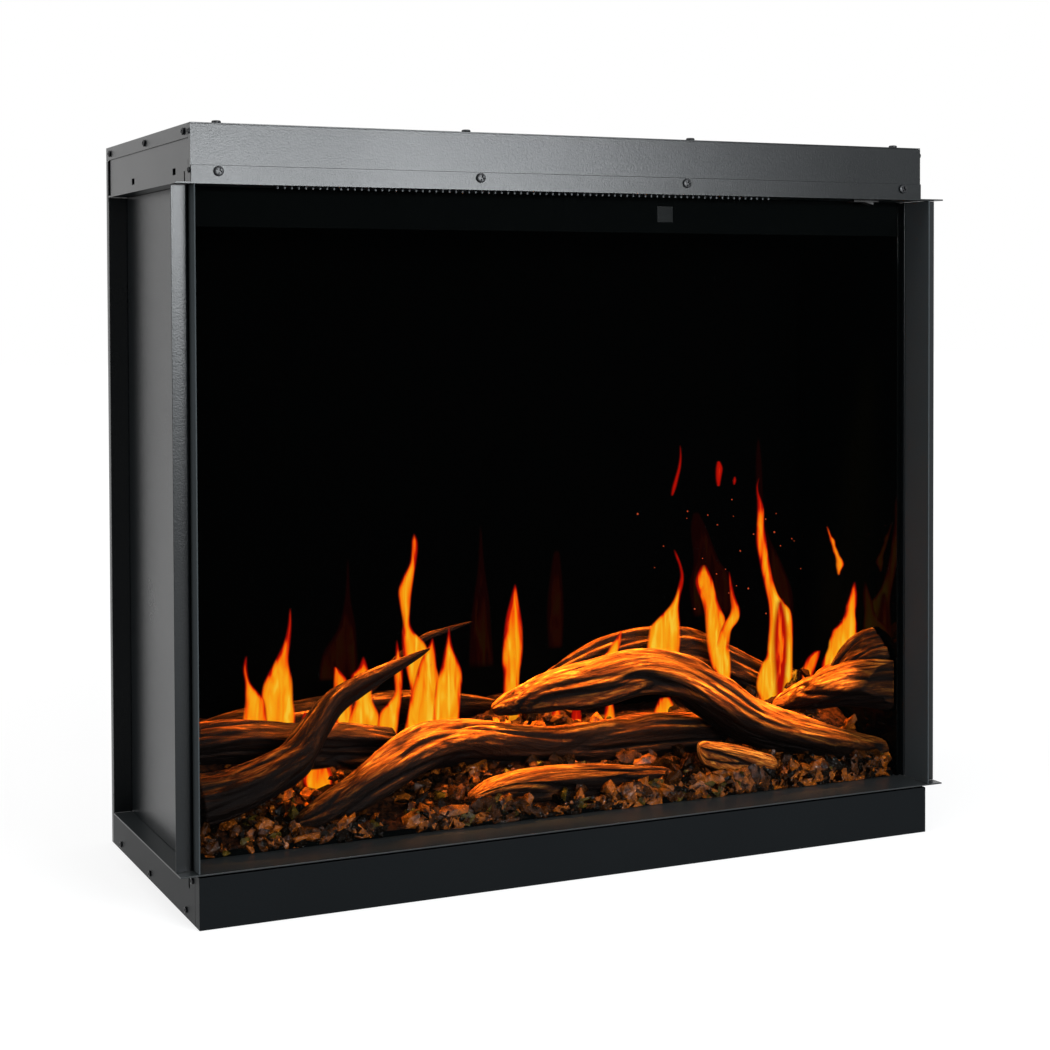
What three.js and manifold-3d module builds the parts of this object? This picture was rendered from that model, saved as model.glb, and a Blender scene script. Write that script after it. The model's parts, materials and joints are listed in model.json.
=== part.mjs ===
// Built-in electric fireplace: a folded sheet-steel casing round a glazed firebox, with a log set on
// an ember bed, a turning flame spindle behind the screen and a heater blower in the housing above.
// Millimetres. X runs to the right, Y towards the back and Z up. The origin is the middle of the
// underside, centred on the whole object's width and depth.

import * as THREE from "three";
import { mergeVertices } from "three/addons/utils/BufferGeometryUtils.js";
import Module from "manifold-3d";

const wasm = await Module();
wasm.setup();

// Whole object
const casing_width = 872;
const casing_height = 800;
const overall_depth = 375;
const base_height = 57;
const housing_height = 60;

// Sheet thicknesses and fits
const sheet = 1.2;
const heavy_sheet = 1.5;
const gap = 0.3;
const overrun = 4;

// Trim frame round the front and both sides
const trim_overhang = 20;
const rear_side_depth = 95;
const flange_setback = 17;
const reveal_depth = 46;
const post_bend = 4;
const post_leg = 44;
const cover_shadow_gap = 2.5;

// Base box
const fascia_setback = 4.5;
const fascia_return = 15.5;
const fascia_shadow_gap = 3;
const base_side_fold = 16;
const base_slot = { from_front: 42, from_top: 17, length: 15, width: 4 };

// Back panel
const back_flange = 8;
const vent = { columns: 7, rows: 3, length: 60, width: 6, pitch_x: 78, pitch_z: 18 };
const vent_rise = 150;
const gland_inset = 70;
const gland_rise = 26;

// Heater housing
const lid_flange = 14.5;
const top_fascia_return = 7.4;
const top_fascia_fold = 22;
const housing_back_gap = 6;
const strip_height = 18;
const side_slot = { from_front: 29, rise: 21, length: 9, width: 4 };
const side_notch = { from_front: 44.5, rise: 13, width: 3.6 };
const side_window = { from_front: 84, to_back: 120, rise: 15, length: 11, height: 6.5 };

// Lid screws
const lid_screw = { head_radius: 4.8, head_height: 3, shank_radius: 2, shank_length: 9, setback: 12 };
const lid_screw_edge = 30;

// Heater outlet under the housing, with the blower above it
const outlet_setback = 24;
const outlet_slot = { length: 14, width: 3.6, pitch: 7.4 };
const outlet_left_margin = 91;
const outlet_right_margin = 115;
const outlet_gap = 47;
const outlet_gap_offset = 20;
const blower = { setback: 82, rise: 29, wheel_radius: 20, shell_radius: 24.5, shell: 1.2 };
const wheel = { blades: 12, blade_depth: 5, blade: 1, disc: 1.5 };
const shaft_radius = 3;
const shaft_clearance = 0.3;
const blower_motor_radius = 21;
const heater = { depth: 14, height: 16, rise: 9, fin_pitch: 22, fin: 4, fin_height: 4 };
const cutout = { radius: 7, height: 5 };

// Rocker switch under the housing
const rocker = { length: 25, width: 10, thickness: 5, proud: 1.6, pivot_radius: 1, swing_room: 1.4 };
const rocker_tilt_degrees = 7;
const switch_wall = 1.5;
const switch_flange = 1.5;
const switch_depth = 18;
const switch_from_right = 71;

// Glass and header
const front_pane = 4;
const side_pane = 4;
const side_pane_inset = 4;
const header_height = 40;
const header_gap = 1.5;
const receiver = { width: 20, height: 18, offset: 116, rise: 19 };

// Firebox
const bed_margin = 12;
const bed_front_gap = 3;
const bed_back_gap = 4;
const tray_lip = 5;
const led_board = { width: 30, thickness: 1.6, from_front: 90 };
const bed_thickness = 6;
const bed_shell = 16;
const bed_rise = 62;
const bed_ripple = 2.5;
const log_radius = 30;
const pile_height = 160;
const screen_from_back = 113;
const screen_thickness = 3;

// Flame spindle
const spindle = { from_back: 57, rise: 60, reach: 28, blade: 1, blade_width: 22, blade_pitch: 46 };
const spindle_side_gap = 46;
const bracket = { thickness: 2, width: 44, foot: 24 };
const spindle_motor = { radius: 22, length: 24 };

// Control gear
const control = { from_right: 120, from_back: 89, length: 180, depth: 96, height: 34 };
const board_thickness = 1.6;
const board_margin = 3;
const terminal = { length: 46, depth: 18, height: 16 };
const gland = { bore_radius: 5, thread_radius: 8, nut_radius: 13, nut: 7, inner: 12 };

const half_width = casing_width / 2;
const front = -overall_depth / 2;
const back = overall_depth / 2;
const ledge_top = casing_height - housing_height;
const ledge_under = ledge_top - heavy_sheet;
const lid_under = casing_height - sheet;

// Small helpers for spans and shapes
const middle = (span) => (span[0] + span[1]) / 2;
const mirrored_span = (side, a, b) => [side * a, side * b].sort((p, q) => p - q);
const inset_span = (side, a, b) => mirrored_span(side, half_width - a, half_width - b);
const around = (centre, width) => [centre - width / 2, centre + width / 2];
const circle_steps = 16;
const screw_steps = 12;
const slot_steps = 2;

function slab(x, y, z) {
  const box = new THREE.BoxGeometry(x[1] - x[0], y[1] - y[0], z[1] - z[0]);
  return box.translate(middle(x), middle(y), middle(z));
}

function rectangle(u, v) {
  return [[u[0], v[0]], [u[1], v[0]], [u[1], v[1]], [u[0], v[1]]];
}

function circle(centre, radius, steps = circle_steps) {
  return Array.from({ length: steps }, (_, i) => {
    const angle = (2 * Math.PI * i) / steps;
    return [centre[0] + radius * Math.cos(angle), centre[1] + radius * Math.sin(angle)];
  });
}

function arc(centre, radius, start, end, steps) {
  return Array.from({ length: steps + 1 }, (_, i) => {
    const angle = start + ((end - start) * i) / steps;
    return [centre[0] + radius * Math.cos(angle), centre[1] + radius * Math.sin(angle)];
  });
}

// A slot with round ends that lies along u, or along v when upright
function slot(centre, length, width, upright = false) {
  const reach = (length - width) / 2;
  const turn = upright ? Math.PI / 2 : 0;
  const shift = upright ? [0, reach] : [reach, 0];
  const far = [centre[0] + shift[0], centre[1] + shift[1]];
  const near = [centre[0] - shift[0], centre[1] - shift[1]];
  return [
    ...arc(far, width / 2, turn - Math.PI / 2, turn + Math.PI / 2, slot_steps),
    ...arc(near, width / 2, turn + Math.PI / 2, turn + (3 * Math.PI) / 2, slot_steps),
  ];
}

// An outline drawn in (y, z), (x, z) or (x, y) and extruded along the remaining axis
function extruded(axis, span, outline) {
  const shape = new THREE.Shape(outline.map(([u, v]) => new THREE.Vector2(u, v)));
  const bar = new THREE.ExtrudeGeometry(shape, { depth: span[1] - span[0], bevelEnabled: false });
  if (axis === "z") return bar.translate(0, 0, span[0]);
  const [u, v, w] =
    axis === "x"
      ? [new THREE.Vector3(0, 1, 0), new THREE.Vector3(0, 0, 1), new THREE.Vector3(1, 0, 0)]
      : [new THREE.Vector3(1, 0, 0), new THREE.Vector3(0, 0, 1), new THREE.Vector3(0, -1, 0)];
  bar.applyMatrix4(new THREE.Matrix4().makeBasis(u, v, w));
  return axis === "x" ? bar.translate(span[0], 0, 0) : bar.translate(0, span[1], 0);
}

// A round bar along X through a point in (y, z)
function bar_along_x(x, centre, radius, steps = circle_steps) {
  return extruded("x", x, circle(centre, radius, steps));
}

function to_solid(geometry) {
  const bare = geometry.clone();
  bare.deleteAttribute("normal");
  bare.deleteAttribute("uv");
  const merged = mergeVertices(bare);
  const vertProperties = Float32Array.from(merged.attributes.position.array);
  const triVerts = Uint32Array.from(merged.index.array);
  return new wasm.Manifold(new wasm.Mesh({ numProp: 3, vertProperties, triVerts }));
}

function to_geometry(solid) {
  const mesh = solid.getMesh();
  const geometry = new THREE.BufferGeometry();
  geometry.setAttribute("position", new THREE.Float32BufferAttribute(mesh.vertProperties, 3));
  geometry.setIndex([...mesh.triVerts]);
  return geometry;
}

function joined(...pieces) {
  return to_geometry(pieces.map(to_solid).reduce((sum, piece) => sum.add(piece)));
}

function cut(piece, ...tools) {
  return to_geometry(tools.map(to_solid).reduce((rest, tool) => rest.subtract(tool), to_solid(piece)));
}

// The same extrusion with openings cut right through it
function pierced(axis, span, outline, holes) {
  const through = [span[0] - overrun, span[1] + overrun];
  return cut(extruded(axis, span, outline), ...holes.map((hole) => extruded(axis, through, hole)));
}

// Finishes
const finish = (color, roughness, metalness, extra = {}) => () =>
  new THREE.MeshStandardMaterial({ color, roughness, metalness, ...extra });
const powder_coat = finish(0x2b2f32, 0.45, 0.25);
const galvanised = finish(0x9ea3a6, 0.4, 0.8);
const black_steel = finish(0x0b0c0d, 0.6, 0.2);
const clear_glass = finish(0x101213, 0.05, 0, { transparent: true, opacity: 0.25 });
const dark_acrylic = finish(0x050505, 0.12, 0);
const driftwood = finish(0x6b4428, 0.8, 0);
const ember_glass = finish(0x8a4a12, 0.3, 0);
const circuit_green = finish(0x1f5a3a, 0.5, 0);
const black_plastic = finish(0x141414, 0.5, 0);
const mirror_foil = finish(0xd0d0d0, 0.15, 1);
const screw_black = finish(0x1b1c1e, 0.35, 0.6);

const fireplace = new THREE.Group();

function add(name, geometry, material) {
  const mesh = new THREE.Mesh(geometry, material());
  mesh.name = name;
  fireplace.add(mesh);
}

const sides = { left: -1, right: 1 };

// Base box: floor, two sides with a folded top edge, and the plain front fascia
const fascia_front = front + fascia_setback;
const base_side_front = fascia_front + fascia_return + gap;
const panel_y = [back - back_flange, back - back_flange + sheet];
const side_back = panel_y[0] - gap;

function base_floor() {
  const x = mirrored_span(1, -half_width + sheet + gap, half_width - sheet - gap);
  return slab(x, [fascia_front + sheet + gap, side_back], [0, sheet]);
}

function base_side(side) {
  const top = base_height - heavy_sheet - gap;
  const web = slab(inset_span(side, 0, sheet), [base_side_front, side_back], [0, top]);
  const fold = slab(inset_span(side, 0, base_side_fold), [base_side_front, side_back], [top - sheet, top]);
  const place = [front + base_slot.from_front, base_height - base_slot.from_top];
  const hole = slot(place, base_slot.length, base_slot.width, true);
  return cut(joined(web, fold), extruded("x", inset_span(side, -overrun, overrun), hole));
}

function folded_tray_outline(y, depth) {
  const inner = half_width - sheet;
  return [
    [-half_width, y], [half_width, y], [half_width, y + depth], [inner, y + depth],
    [inner, y + sheet], [-inner, y + sheet], [-inner, y + depth], [-half_width, y + depth],
  ];
}

function base_fascia() {
  const top = base_height - heavy_sheet - fascia_shadow_gap;
  return extruded("z", [0, top], folded_tray_outline(fascia_front, fascia_return));
}

add("base_floor", base_floor(), powder_coat);
for (const [name, side] of Object.entries(sides)) add(`base_side_${name}`, base_side(side), powder_coat);
add("base_fascia", base_fascia(), powder_coat);

// Ledges: two wide plates whose front and side edges stand out as the trim frame
const outlet_y = [front + outlet_setback, front + outlet_setback + outlet_slot.length];
const outlet_fields = [
  [outlet_left_margin - half_width, outlet_gap_offset - outlet_gap / 2],
  [outlet_gap_offset + outlet_gap / 2, half_width - outlet_right_margin],
];
const switch_x = half_width - switch_from_right;
const switch_hole = {
  x: around(switch_x, rocker.length + 2 * (rocker.swing_room + switch_wall + gap)),
  y: around(middle(outlet_y), rocker.width + 2 * (gap + switch_wall + gap)),
};

function ledge_outline() {
  const outer = half_width + trim_overhang;
  const inner = half_width - sheet - gap;
  const wing_back = back - rear_side_depth;
  return [
    [-outer, front], [outer, front], [outer, wing_back], [inner, wing_back],
    [inner, side_back], [-inner, side_back], [-inner, wing_back], [-outer, wing_back],
  ];
}

function outlet_holes([start, end]) {
  const count = Math.floor((end - start) / outlet_slot.pitch);
  const first = middle([start, end]) - ((count - 1) * outlet_slot.pitch) / 2;
  return Array.from({ length: count }, (_, i) =>
    rectangle(around(first + i * outlet_slot.pitch, outlet_slot.width), outlet_y),
  );
}

function top_ledge() {
  const holes = [...outlet_fields.flatMap(outlet_holes), rectangle(switch_hole.x, switch_hole.y)];
  return pierced("z", [ledge_under, ledge_top], ledge_outline(), holes);
}

add("hearth_plate", extruded("z", [base_height - heavy_sheet, base_height], ledge_outline()), powder_coat);
add("top_ledge", top_ledge(), powder_coat);

// Uprights between the ledges: corner posts, front reveals, side covers and rear sides
const upright_z = [base_height + gap, ledge_under - gap];
const post_inset = -(heavy_sheet + gap);
const glass_front = front + reveal_depth + gap;
const rear_flange_y = [back - rear_side_depth - sheet, back - rear_side_depth];

function corner_post(side) {
  const y = front + flange_setback;
  const outer = post_bend;
  const inner = post_bend - sheet;
  const centre = [post_inset - post_bend, y + post_bend];
  const bend_steps = 4;
  const outline = [
    [-trim_overhang, y],
    ...arc(centre, outer, -Math.PI / 2, 0, bend_steps),
    [post_inset, y + post_leg],
    [post_inset - sheet, y + post_leg],
    ...arc(centre, inner, 0, -Math.PI / 2, bend_steps),
    [-trim_overhang, y + sheet],
  ];
  const placed = outline.map(([inset, depth]) => [side * (half_width - inset), depth]);
  return extruded("z", upright_z, placed);
}

function rear_side(side) {
  const [start, end] = rear_flange_y;
  const outline = [
    [-trim_overhang, start], [sheet, start], [sheet, side_back],
    [0, side_back], [0, end], [-trim_overhang, end],
  ];
  const placed = outline.map(([inset, depth]) => [side * (half_width - inset), depth]);
  return extruded("z", upright_z, placed);
}

for (const [name, side] of Object.entries(sides)) {
  const reveal_y = [front, front + reveal_depth];
  const cover_y = [glass_front, rear_flange_y[0] - cover_shadow_gap];
  add(`corner_post_${name}`, corner_post(side), powder_coat);
  add(`reveal_${name}`, slab(inset_span(side, -heavy_sheet, 0), reveal_y, upright_z), powder_coat);
  add(`side_cover_${name}`, slab(inset_span(side, 0, sheet), cover_y, upright_z), powder_coat);
  add(`rear_side_${name}`, rear_side(side), powder_coat);
}

// Back panel: a shallow tray open to the rear, with rows of vent slots and the cable entry
const lid_flange_bottom = casing_height - lid_flange;
const gland_place = [half_width - gland_inset, ledge_top + gland_rise];

function vent_holes() {
  const start_x = (-(vent.columns - 1) * vent.pitch_x) / 2;
  const holes = [];
  for (let column = 0; column < vent.columns; column += 1) {
    for (let row = 0; row < vent.rows; row += 1) {
      const place = [start_x + column * vent.pitch_x, vent_rise + row * vent.pitch_z];
      holes.push(slot(place, vent.length, vent.width));
    }
  }
  return holes;
}

function back_panel() {
  const shoulder = lid_flange_bottom - gap;
  const neck = half_width - sheet - gap;
  const outline = [
    [-half_width, 0], [half_width, 0], [half_width, shoulder], [neck, shoulder],
    [neck, lid_under - gap], [-neck, lid_under - gap], [-neck, shoulder], [-half_width, shoulder],
  ];
  const entry = circle(gland_place, gland.thread_radius + gap);
  const plate = pierced("y", panel_y, outline, [...vent_holes(), entry]);
  const flanges = Object.values(sides).map((side) =>
    slab(inset_span(side, 0, sheet), [panel_y[0], back], [0, shoulder]),
  );
  return joined(plate, ...flanges);
}

add("back_panel", back_panel(), powder_coat);

// Heater housing: sides with fixing slots, folded fascia, lower strip and flanged lid
const fascia_y = front + flange_setback;
const housing_z = [ledge_top + gap, lid_under - gap];
const screw_y = fascia_y + lid_screw.setback;
const screw_reach = half_width - lid_screw_edge;
const screw_shares = [-1, -1 / 3, 1 / 3, 1];
const screw_places = screw_shares.map((share) => [share * screw_reach, screw_y]);

function housing_side(side) {
  const y = [fascia_y + sheet + gap, back - back_flange - housing_back_gap];
  const notch_y = around(front + side_notch.from_front, side_notch.width);
  const outline = [
    [y[0], housing_z[0]], [notch_y[0], housing_z[0]],
    [notch_y[0], ledge_top + side_notch.rise], [notch_y[1], ledge_top + side_notch.rise],
    [notch_y[1], housing_z[0]], [y[1], housing_z[0]], [y[1], housing_z[1]], [y[0], housing_z[1]],
  ];
  const tall = slot(
    [front + side_slot.from_front, ledge_top + side_slot.rise], side_slot.length, side_slot.width, true,
  );
  const window_z = around(ledge_top + side_window.rise, side_window.height);
  const windows = [front + side_window.from_front, back - side_window.to_back].map((place) =>
    rectangle(around(place, side_window.length), window_z),
  );
  return pierced("x", inset_span(side, sheet + gap, 2 * sheet + gap), outline, [tall, ...windows]);
}

function top_fascia() {
  const tray = extruded("z", housing_z, folded_tray_outline(fascia_y, top_fascia_return));
  const inner = half_width - 2 * (sheet + gap) - sheet;
  const fold_z = [housing_z[1] - sheet, housing_z[1]];
  const holes = screw_places.map((place) => circle(place, lid_screw.shank_radius + gap, screw_steps));
  const fold_outline = rectangle([-inner, inner], [fascia_y, fascia_y + top_fascia_fold]);
  const fold = pierced("z", fold_z, fold_outline, holes);
  return joined(tray, fold);
}

function top_cover() {
  const holes = screw_places.map((place) => circle(place, lid_screw.shank_radius + gap, screw_steps));
  const outline = rectangle([-half_width, half_width], [fascia_y, back]);
  const plate = pierced("z", [lid_under, casing_height], outline, holes);
  const flange_y = [fascia_y + top_fascia_return + gap, back];
  const flanges = Object.values(sides).map((side) =>
    slab(inset_span(side, 0, sheet), flange_y, [lid_flange_bottom, casing_height]),
  );
  return joined(plate, ...flanges);
}

// A pan-head screw: the head sits on the lid and the shank passes through lid and fascia fold
function lid_screw_shape() {
  const { head_radius, head_height, shank_radius, shank_length } = lid_screw;
  const crown_share = 0.55;
  const profile = [
    [0, -shank_length], [shank_radius, -shank_length], [shank_radius, 0], [head_radius, 0],
    [head_radius, head_height * crown_share], [head_radius * crown_share, head_height], [0, head_height],
  ];
  const screw = new THREE.LatheGeometry(profile.map(([r, h]) => new THREE.Vector2(r, h)), screw_steps);
  return screw.rotateX(Math.PI / 2);
}

for (const [name, side] of Object.entries(sides)) {
  add(`housing_side_${name}`, housing_side(side), powder_coat);
}
add("top_fascia", top_fascia(), powder_coat);
const strip_y = [fascia_y - gap - heavy_sheet, fascia_y - gap];
const strip_z = [ledge_top + gap, ledge_top + strip_height];
add("outlet_strip", slab([-half_width, half_width], strip_y, strip_z), powder_coat);
add("top_cover", top_cover(), powder_coat);
screw_places.forEach(([x, y], i) => {
  add(`lid_screw_${i + 1}`, lid_screw_shape().translate(x, y, casing_height + gap), screw_black);
});

// Glazing: front pane, side panes inside the covers, header band and infrared window
const pane_half = half_width - sheet - gap;
const glass_back = glass_front + front_pane;
const header_y = [glass_back + header_gap, glass_back + header_gap + sheet];
const receiver_place = [receiver.offset, ledge_under - receiver.rise];

function header_band() {
  const inner = half_width - side_pane_inset - side_pane - gap;
  const outline = rectangle([-inner, inner], [ledge_under - header_height, ledge_under - gap]);
  const window = rectangle(
    around(receiver_place[0], receiver.width + 2 * gap), around(receiver_place[1], receiver.height + 2 * gap),
  );
  return pierced("y", header_y, outline, [window]);
}

add("front_glass", slab([-pane_half, pane_half], [glass_front, glass_back], upright_z), clear_glass);
for (const [name, side] of Object.entries(sides)) {
  const x = inset_span(side, side_pane_inset, side_pane_inset + side_pane);
  const y = [glass_back + gap, rear_flange_y[0] - cover_shadow_gap];
  add(`side_glass_${name}`, slab(x, y, upright_z), clear_glass);
}
add("header_band", header_band(), black_steel);
add(
  "ir_window",
  slab(around(receiver_place[0], receiver.width), header_y, around(receiver_place[1], receiver.height)),
  black_plastic,
);

// Firebox: smoked screen, ember tray with its light board, and the ember bed
const bed_x = [bed_margin - half_width, half_width - bed_margin];
const screen_front = back - screen_from_back;
const bed_y = [glass_back + bed_front_gap, screen_front - bed_back_gap];
const bed_floor = base_height + gap;
const board_z = [bed_floor + sheet + gap, bed_floor + sheet + gap + led_board.thickness];
const bed_z = board_z[1] + gap;
const bed_width = bed_x[1] - bed_x[0];
const bed_depth = bed_y[1] - bed_y[0];

add(
  "flame_screen",
  slab(bed_x, [screen_front, screen_front + screen_thickness], upright_z),
  dark_acrylic,
);

function ember_tray() {
  const block = slab(bed_x, bed_y, [bed_floor, bed_floor + sheet + tray_lip]);
  const hollow_x = [bed_x[0] + sheet, bed_x[1] - sheet];
  const hollow_y = [bed_y[0] + sheet, bed_y[1] - sheet];
  return cut(block, slab(hollow_x, hollow_y, [bed_floor + sheet, bed_z + overrun + tray_lip]));
}

add("ember_tray", ember_tray(), black_steel);
const board_x = [bed_x[0] + sheet + board_margin, bed_x[1] - sheet - board_margin];
add(
  "ember_led_board",
  slab(board_x, around(front + led_board.from_front, led_board.width), board_z),
  circuit_green,
);

// Logs. A station is [along the bed, into the bed, up the pile, thickness]: shares of the bed's width
// from its middle, of the depth that leaves a log's radius free behind, of the pile height and of the
// log radius.
const log_shares = {
  back_log: [
    [-0.495, 0.70, 0.54, 0.7], [-0.42, 0.70, 0.55, 0.8], [-0.34, 0.70, 0.51, 0.82],
    [-0.27, 0.70, 0.47, 0.78], [-0.19, 0.70, 0.41, 0.66],
  ],
  fork_log: [
    [-0.495, 0.22, 0.3, 0.94], [-0.45, 0.22, 0.33, 0.9], [-0.4, 0.22, 0.42, 0.82],
    [-0.36, 0.23, 0.53, 0.7], [-0.33, 0.29, 0.7, 0.54], [-0.3, 0.35, 0.85, 0.46],
    [-0.26, 0.41, 0.94, 0.38], [-0.21, 0.49, 1.02, 0.27], [-0.15, 0.59, 1.11, 0.06],
  ],
  long_log: [
    [-0.37, 0.12, 0.12, 0.22], [-0.34, 0.14, 0.17, 0.52], [-0.29, 0.20, 0.27, 0.68],
    [-0.23, 0.29, 0.39, 0.82], [-0.18, 0.37, 0.46, 0.88], [-0.12, 0.47, 0.46, 0.86],
    [-0.06, 0.53, 0.4, 0.82], [0.01, 0.55, 0.32, 0.78], [0.07, 0.56, 0.26, 0.66],
    [0.16, 0.59, 0.26, 0.62], [0.25, 0.59, 0.25, 0.5], [0.32, 0.59, 0.23, 0.22],
  ],
  arch_log: [
    [-0.07, 0.49, 0.66, 0.2], [-0.04, 0.49, 0.7, 0.5], [0.0, 0.47, 0.75, 0.76],
    [0.07, 0.43, 0.8, 0.94], [0.14, 0.41, 0.86, 0.94], [0.2, 0.36, 0.8, 0.95],
    [0.25, 0.32, 0.64, 0.98], [0.3, 0.28, 0.46, 0.94], [0.36, 0.23, 0.34, 0.84],
    [0.42, 0.20, 0.24, 0.74], [0.47, 0.18, 0.17, 0.6], [0.492, 0.16, 0.14, 0.5],
  ],
  right_log: [
    [0.395, 0.59, 0.38, 0.26], [0.42, 0.59, 0.44, 0.56], [0.46, 0.56, 0.52, 0.86], [0.495, 0.54, 0.56, 0.94],
  ],
  split_log: [
    [-0.13, 0.18, 0.13, 0.34], [-0.09, 0.18, 0.15, 0.48], [0.0, 0.19, 0.16, 0.52],
    [0.09, 0.20, 0.16, 0.48], [0.17, 0.22, 0.15, 0.28],
  ],
  wood_chip: [[0.22, 0.19, 0.24, 0.24], [0.27, 0.16, 0.17, 0.36], [0.315, 0.14, 0.12, 0.2]],
  rear_left_log: [
    [-0.495, 1.03, 0.44, 0.56], [-0.38, 1.03, 0.56, 0.64], [-0.3, 1.03, 0.6, 0.64],
    [-0.2, 1.03, 0.63, 0.66], [-0.1, 1.03, 0.61, 0.56], [-0.01, 1.03, 0.54, 0.34],
  ],
  rear_log: [
    [0.03, 1.03, 0.58, 0.5], [0.11, 1.03, 0.74, 0.78], [0.19, 1.03, 0.86, 0.84], [0.28, 1.03, 0.84, 0.88],
    [0.35, 1.03, 0.69, 0.9], [0.42, 1.03, 0.52, 0.84], [0.49, 1.03, 0.44, 0.76],
  ],
};
const log_reach = bed_depth - log_radius;
const log_sides = 8;
const rings_per_station = 2;

// The logs' section swells and dips round and along the log by shares of its radius
function log_geometry(name, grow = 0) {
  const stations = log_shares[name];
  const place = ([x, y, z]) =>
    new THREE.Vector3(x * bed_width, bed_y[0] + y * log_reach, base_height + z * pile_height);
  const spine = new THREE.CatmullRomCurve3(stations.map(place));
  const girth = new THREE.SplineCurve(stations.map((s, i) => new THREE.Vector2(i, s[3] * log_radius)));
  const rings = (stations.length - 1) * rings_per_station;
  const phase = name.length;
  const swell_share = 0.1;
  const ridge_share = 0.07;
  const vertices = [];
  const faces = [];
  for (let ring = 0; ring <= rings; ring += 1) {
    const along = ring / rings;
    const centre = spine.getPoint(along);
    const tangent = spine.getTangent(along);
    const across = new THREE.Vector3(0, 0, 1).cross(tangent).normalize();
    const upward = tangent.clone().cross(across).normalize();
    const radius = girth.getPoint(along).y + grow;
    for (let i = 0; i < log_sides; i += 1) {
      const angle = (2 * Math.PI * i) / log_sides;
      const swell = swell_share * Math.sin(2 * angle + phase + 3 * along);
      const ridge = ridge_share * Math.sin(3 * angle - phase + 5 * along);
      const reach = radius * (1 + swell + ridge);
      const point = centre.clone();
      point.addScaledVector(across, reach * Math.cos(angle));
      point.addScaledVector(upward, reach * Math.sin(angle));
      vertices.push(point);
    }
  }
  const tips = [0, 1].map((along) => {
    const outward = along * 2 - 1;
    return spine.getPoint(along).addScaledVector(spine.getTangent(along), outward * grow);
  });
  const first_tip = vertices.push(tips[0]) - 1;
  const last_tip = vertices.push(tips[1]) - 1;
  for (let i = 0; i < log_sides; i += 1) {
    const next = (i + 1) % log_sides;
    for (let ring = 0; ring < rings; ring += 1) {
      const low = ring * log_sides;
      const high = low + log_sides;
      faces.push(low + i, low + next, high + next, low + i, high + next, high + i);
    }
    const end = rings * log_sides;
    faces.push(first_tip, next, i, last_tip, end + i, end + next);
  }
  const geometry = new THREE.BufferGeometry().setFromPoints(vertices);
  geometry.setIndex(faces);
  return geometry;
}

// A log is trimmed where an earlier one of the pile lies, which leaves a seat with the usual gap
function seated_log(name, ...under) {
  return cut(log_geometry(name), ...under.map((other) => log_geometry(other, gap)));
}

// The ember bed is a moulded shell, open below, that rises in ripples and heaps towards the back.
// It is hollowed where logs lie in it.
function ember_bed() {
  const columns = 18;
  const rows = 6;
  const x = [bed_x[0] + sheet + gap, bed_x[1] - sheet - gap];
  const y = [bed_y[0] + sheet + gap, bed_y[1] - sheet - gap];
  const mound_shares = [[-0.45, 0.5], [-0.3, 0.2], [0.01, 0.45], [0.45, 0.5]];
  const mound_width_share = 0.09;
  const vertices = [];
  for (const level of [0, 1]) {
    for (let row = 0; row <= rows; row += 1) {
      for (let column = 0; column <= columns; column += 1) {
        const across = column / columns - 0.5;
        const inward = row / rows;
        const slope = bed_rise * inward * inward * (3 - 2 * inward);
        const mounds = mound_shares.map(([centre, height]) => {
          const away = (across - centre) / mound_width_share;
          return bed_rise * height * Math.sin((Math.PI / 2) * inward) * Math.exp(-away * away);
        });
        const ripple = bed_ripple * Math.sin(column * 1.9) * Math.cos(row * 2.3 + column);
        const top = bed_thickness + slope + ripple + mounds.reduce((sum, mound) => sum + mound);
        const rim = row === 0 || row === rows || column === 0 || column === columns;
        const under = rim ? 0 : Math.max(0, top - bed_shell);
        const point_x = x[0] + ((x[1] - x[0]) * column) / columns;
        const point_y = y[0] + (y[1] - y[0]) * inward;
        vertices.push(new THREE.Vector3(point_x, point_y, bed_z + (level === 0 ? under : top)));
      }
    }
  }
  const stride = columns + 1;
  const upper = stride * (rows + 1);
  const faces = [];
  const quad = (a, b, c, d) => faces.push(a, b, c, a, c, d);
  for (let row = 0; row < rows; row += 1) {
    for (let column = 0; column < columns; column += 1) {
      const a = row * stride + column;
      const [b, c, d] = [a + 1, a + stride + 1, a + stride];
      quad(a, d, c, b);
      quad(upper + a, upper + b, upper + c, upper + d);
    }
  }
  const wall = (a, b) => quad(a, b, upper + b, upper + a);
  const far = rows * stride;
  for (let column = 0; column < columns; column += 1) {
    wall(column, column + 1);
    wall(far + column + 1, far + column);
  }
  for (let row = 0; row < rows; row += 1) {
    wall((row + 1) * stride, row * stride);
    wall(row * stride + columns, (row + 1) * stride + columns);
  }
  const heap = new THREE.BufferGeometry().setFromPoints(vertices);
  heap.setIndex(faces);
  return cut(heap, ...Object.keys(log_shares).map((name) => log_geometry(name, gap)));
}

add("ember_bed", ember_bed(), ember_glass);
add("back_log", seated_log("back_log"), driftwood);
add("fork_log", seated_log("fork_log", "back_log"), driftwood);
add("long_log", seated_log("long_log", "back_log", "fork_log"), driftwood);
add("arch_log", seated_log("arch_log", "long_log"), driftwood);
add("right_log", seated_log("right_log", "arch_log", "long_log"), driftwood);
add("split_log", seated_log("split_log", "long_log", "arch_log"), driftwood);
add("wood_chip", seated_log("wood_chip", "arch_log", "split_log"), driftwood);
add("rear_left_log", seated_log("rear_left_log"), driftwood);
add("rear_log", seated_log("rear_log"), driftwood);

// Flame spindle: a rod with staggered mirror blades in two brackets, turned by a small motor
const spindle_place = [back - spindle.from_back, base_height + spindle.rise];
const bracket_x = {
  left: mirrored_span(-1, half_width - spindle_side_gap, half_width - spindle_side_gap - bracket.thickness),
  right: mirrored_span(1, half_width - spindle_side_gap, half_width - spindle_side_gap - bracket.thickness),
};

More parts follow.
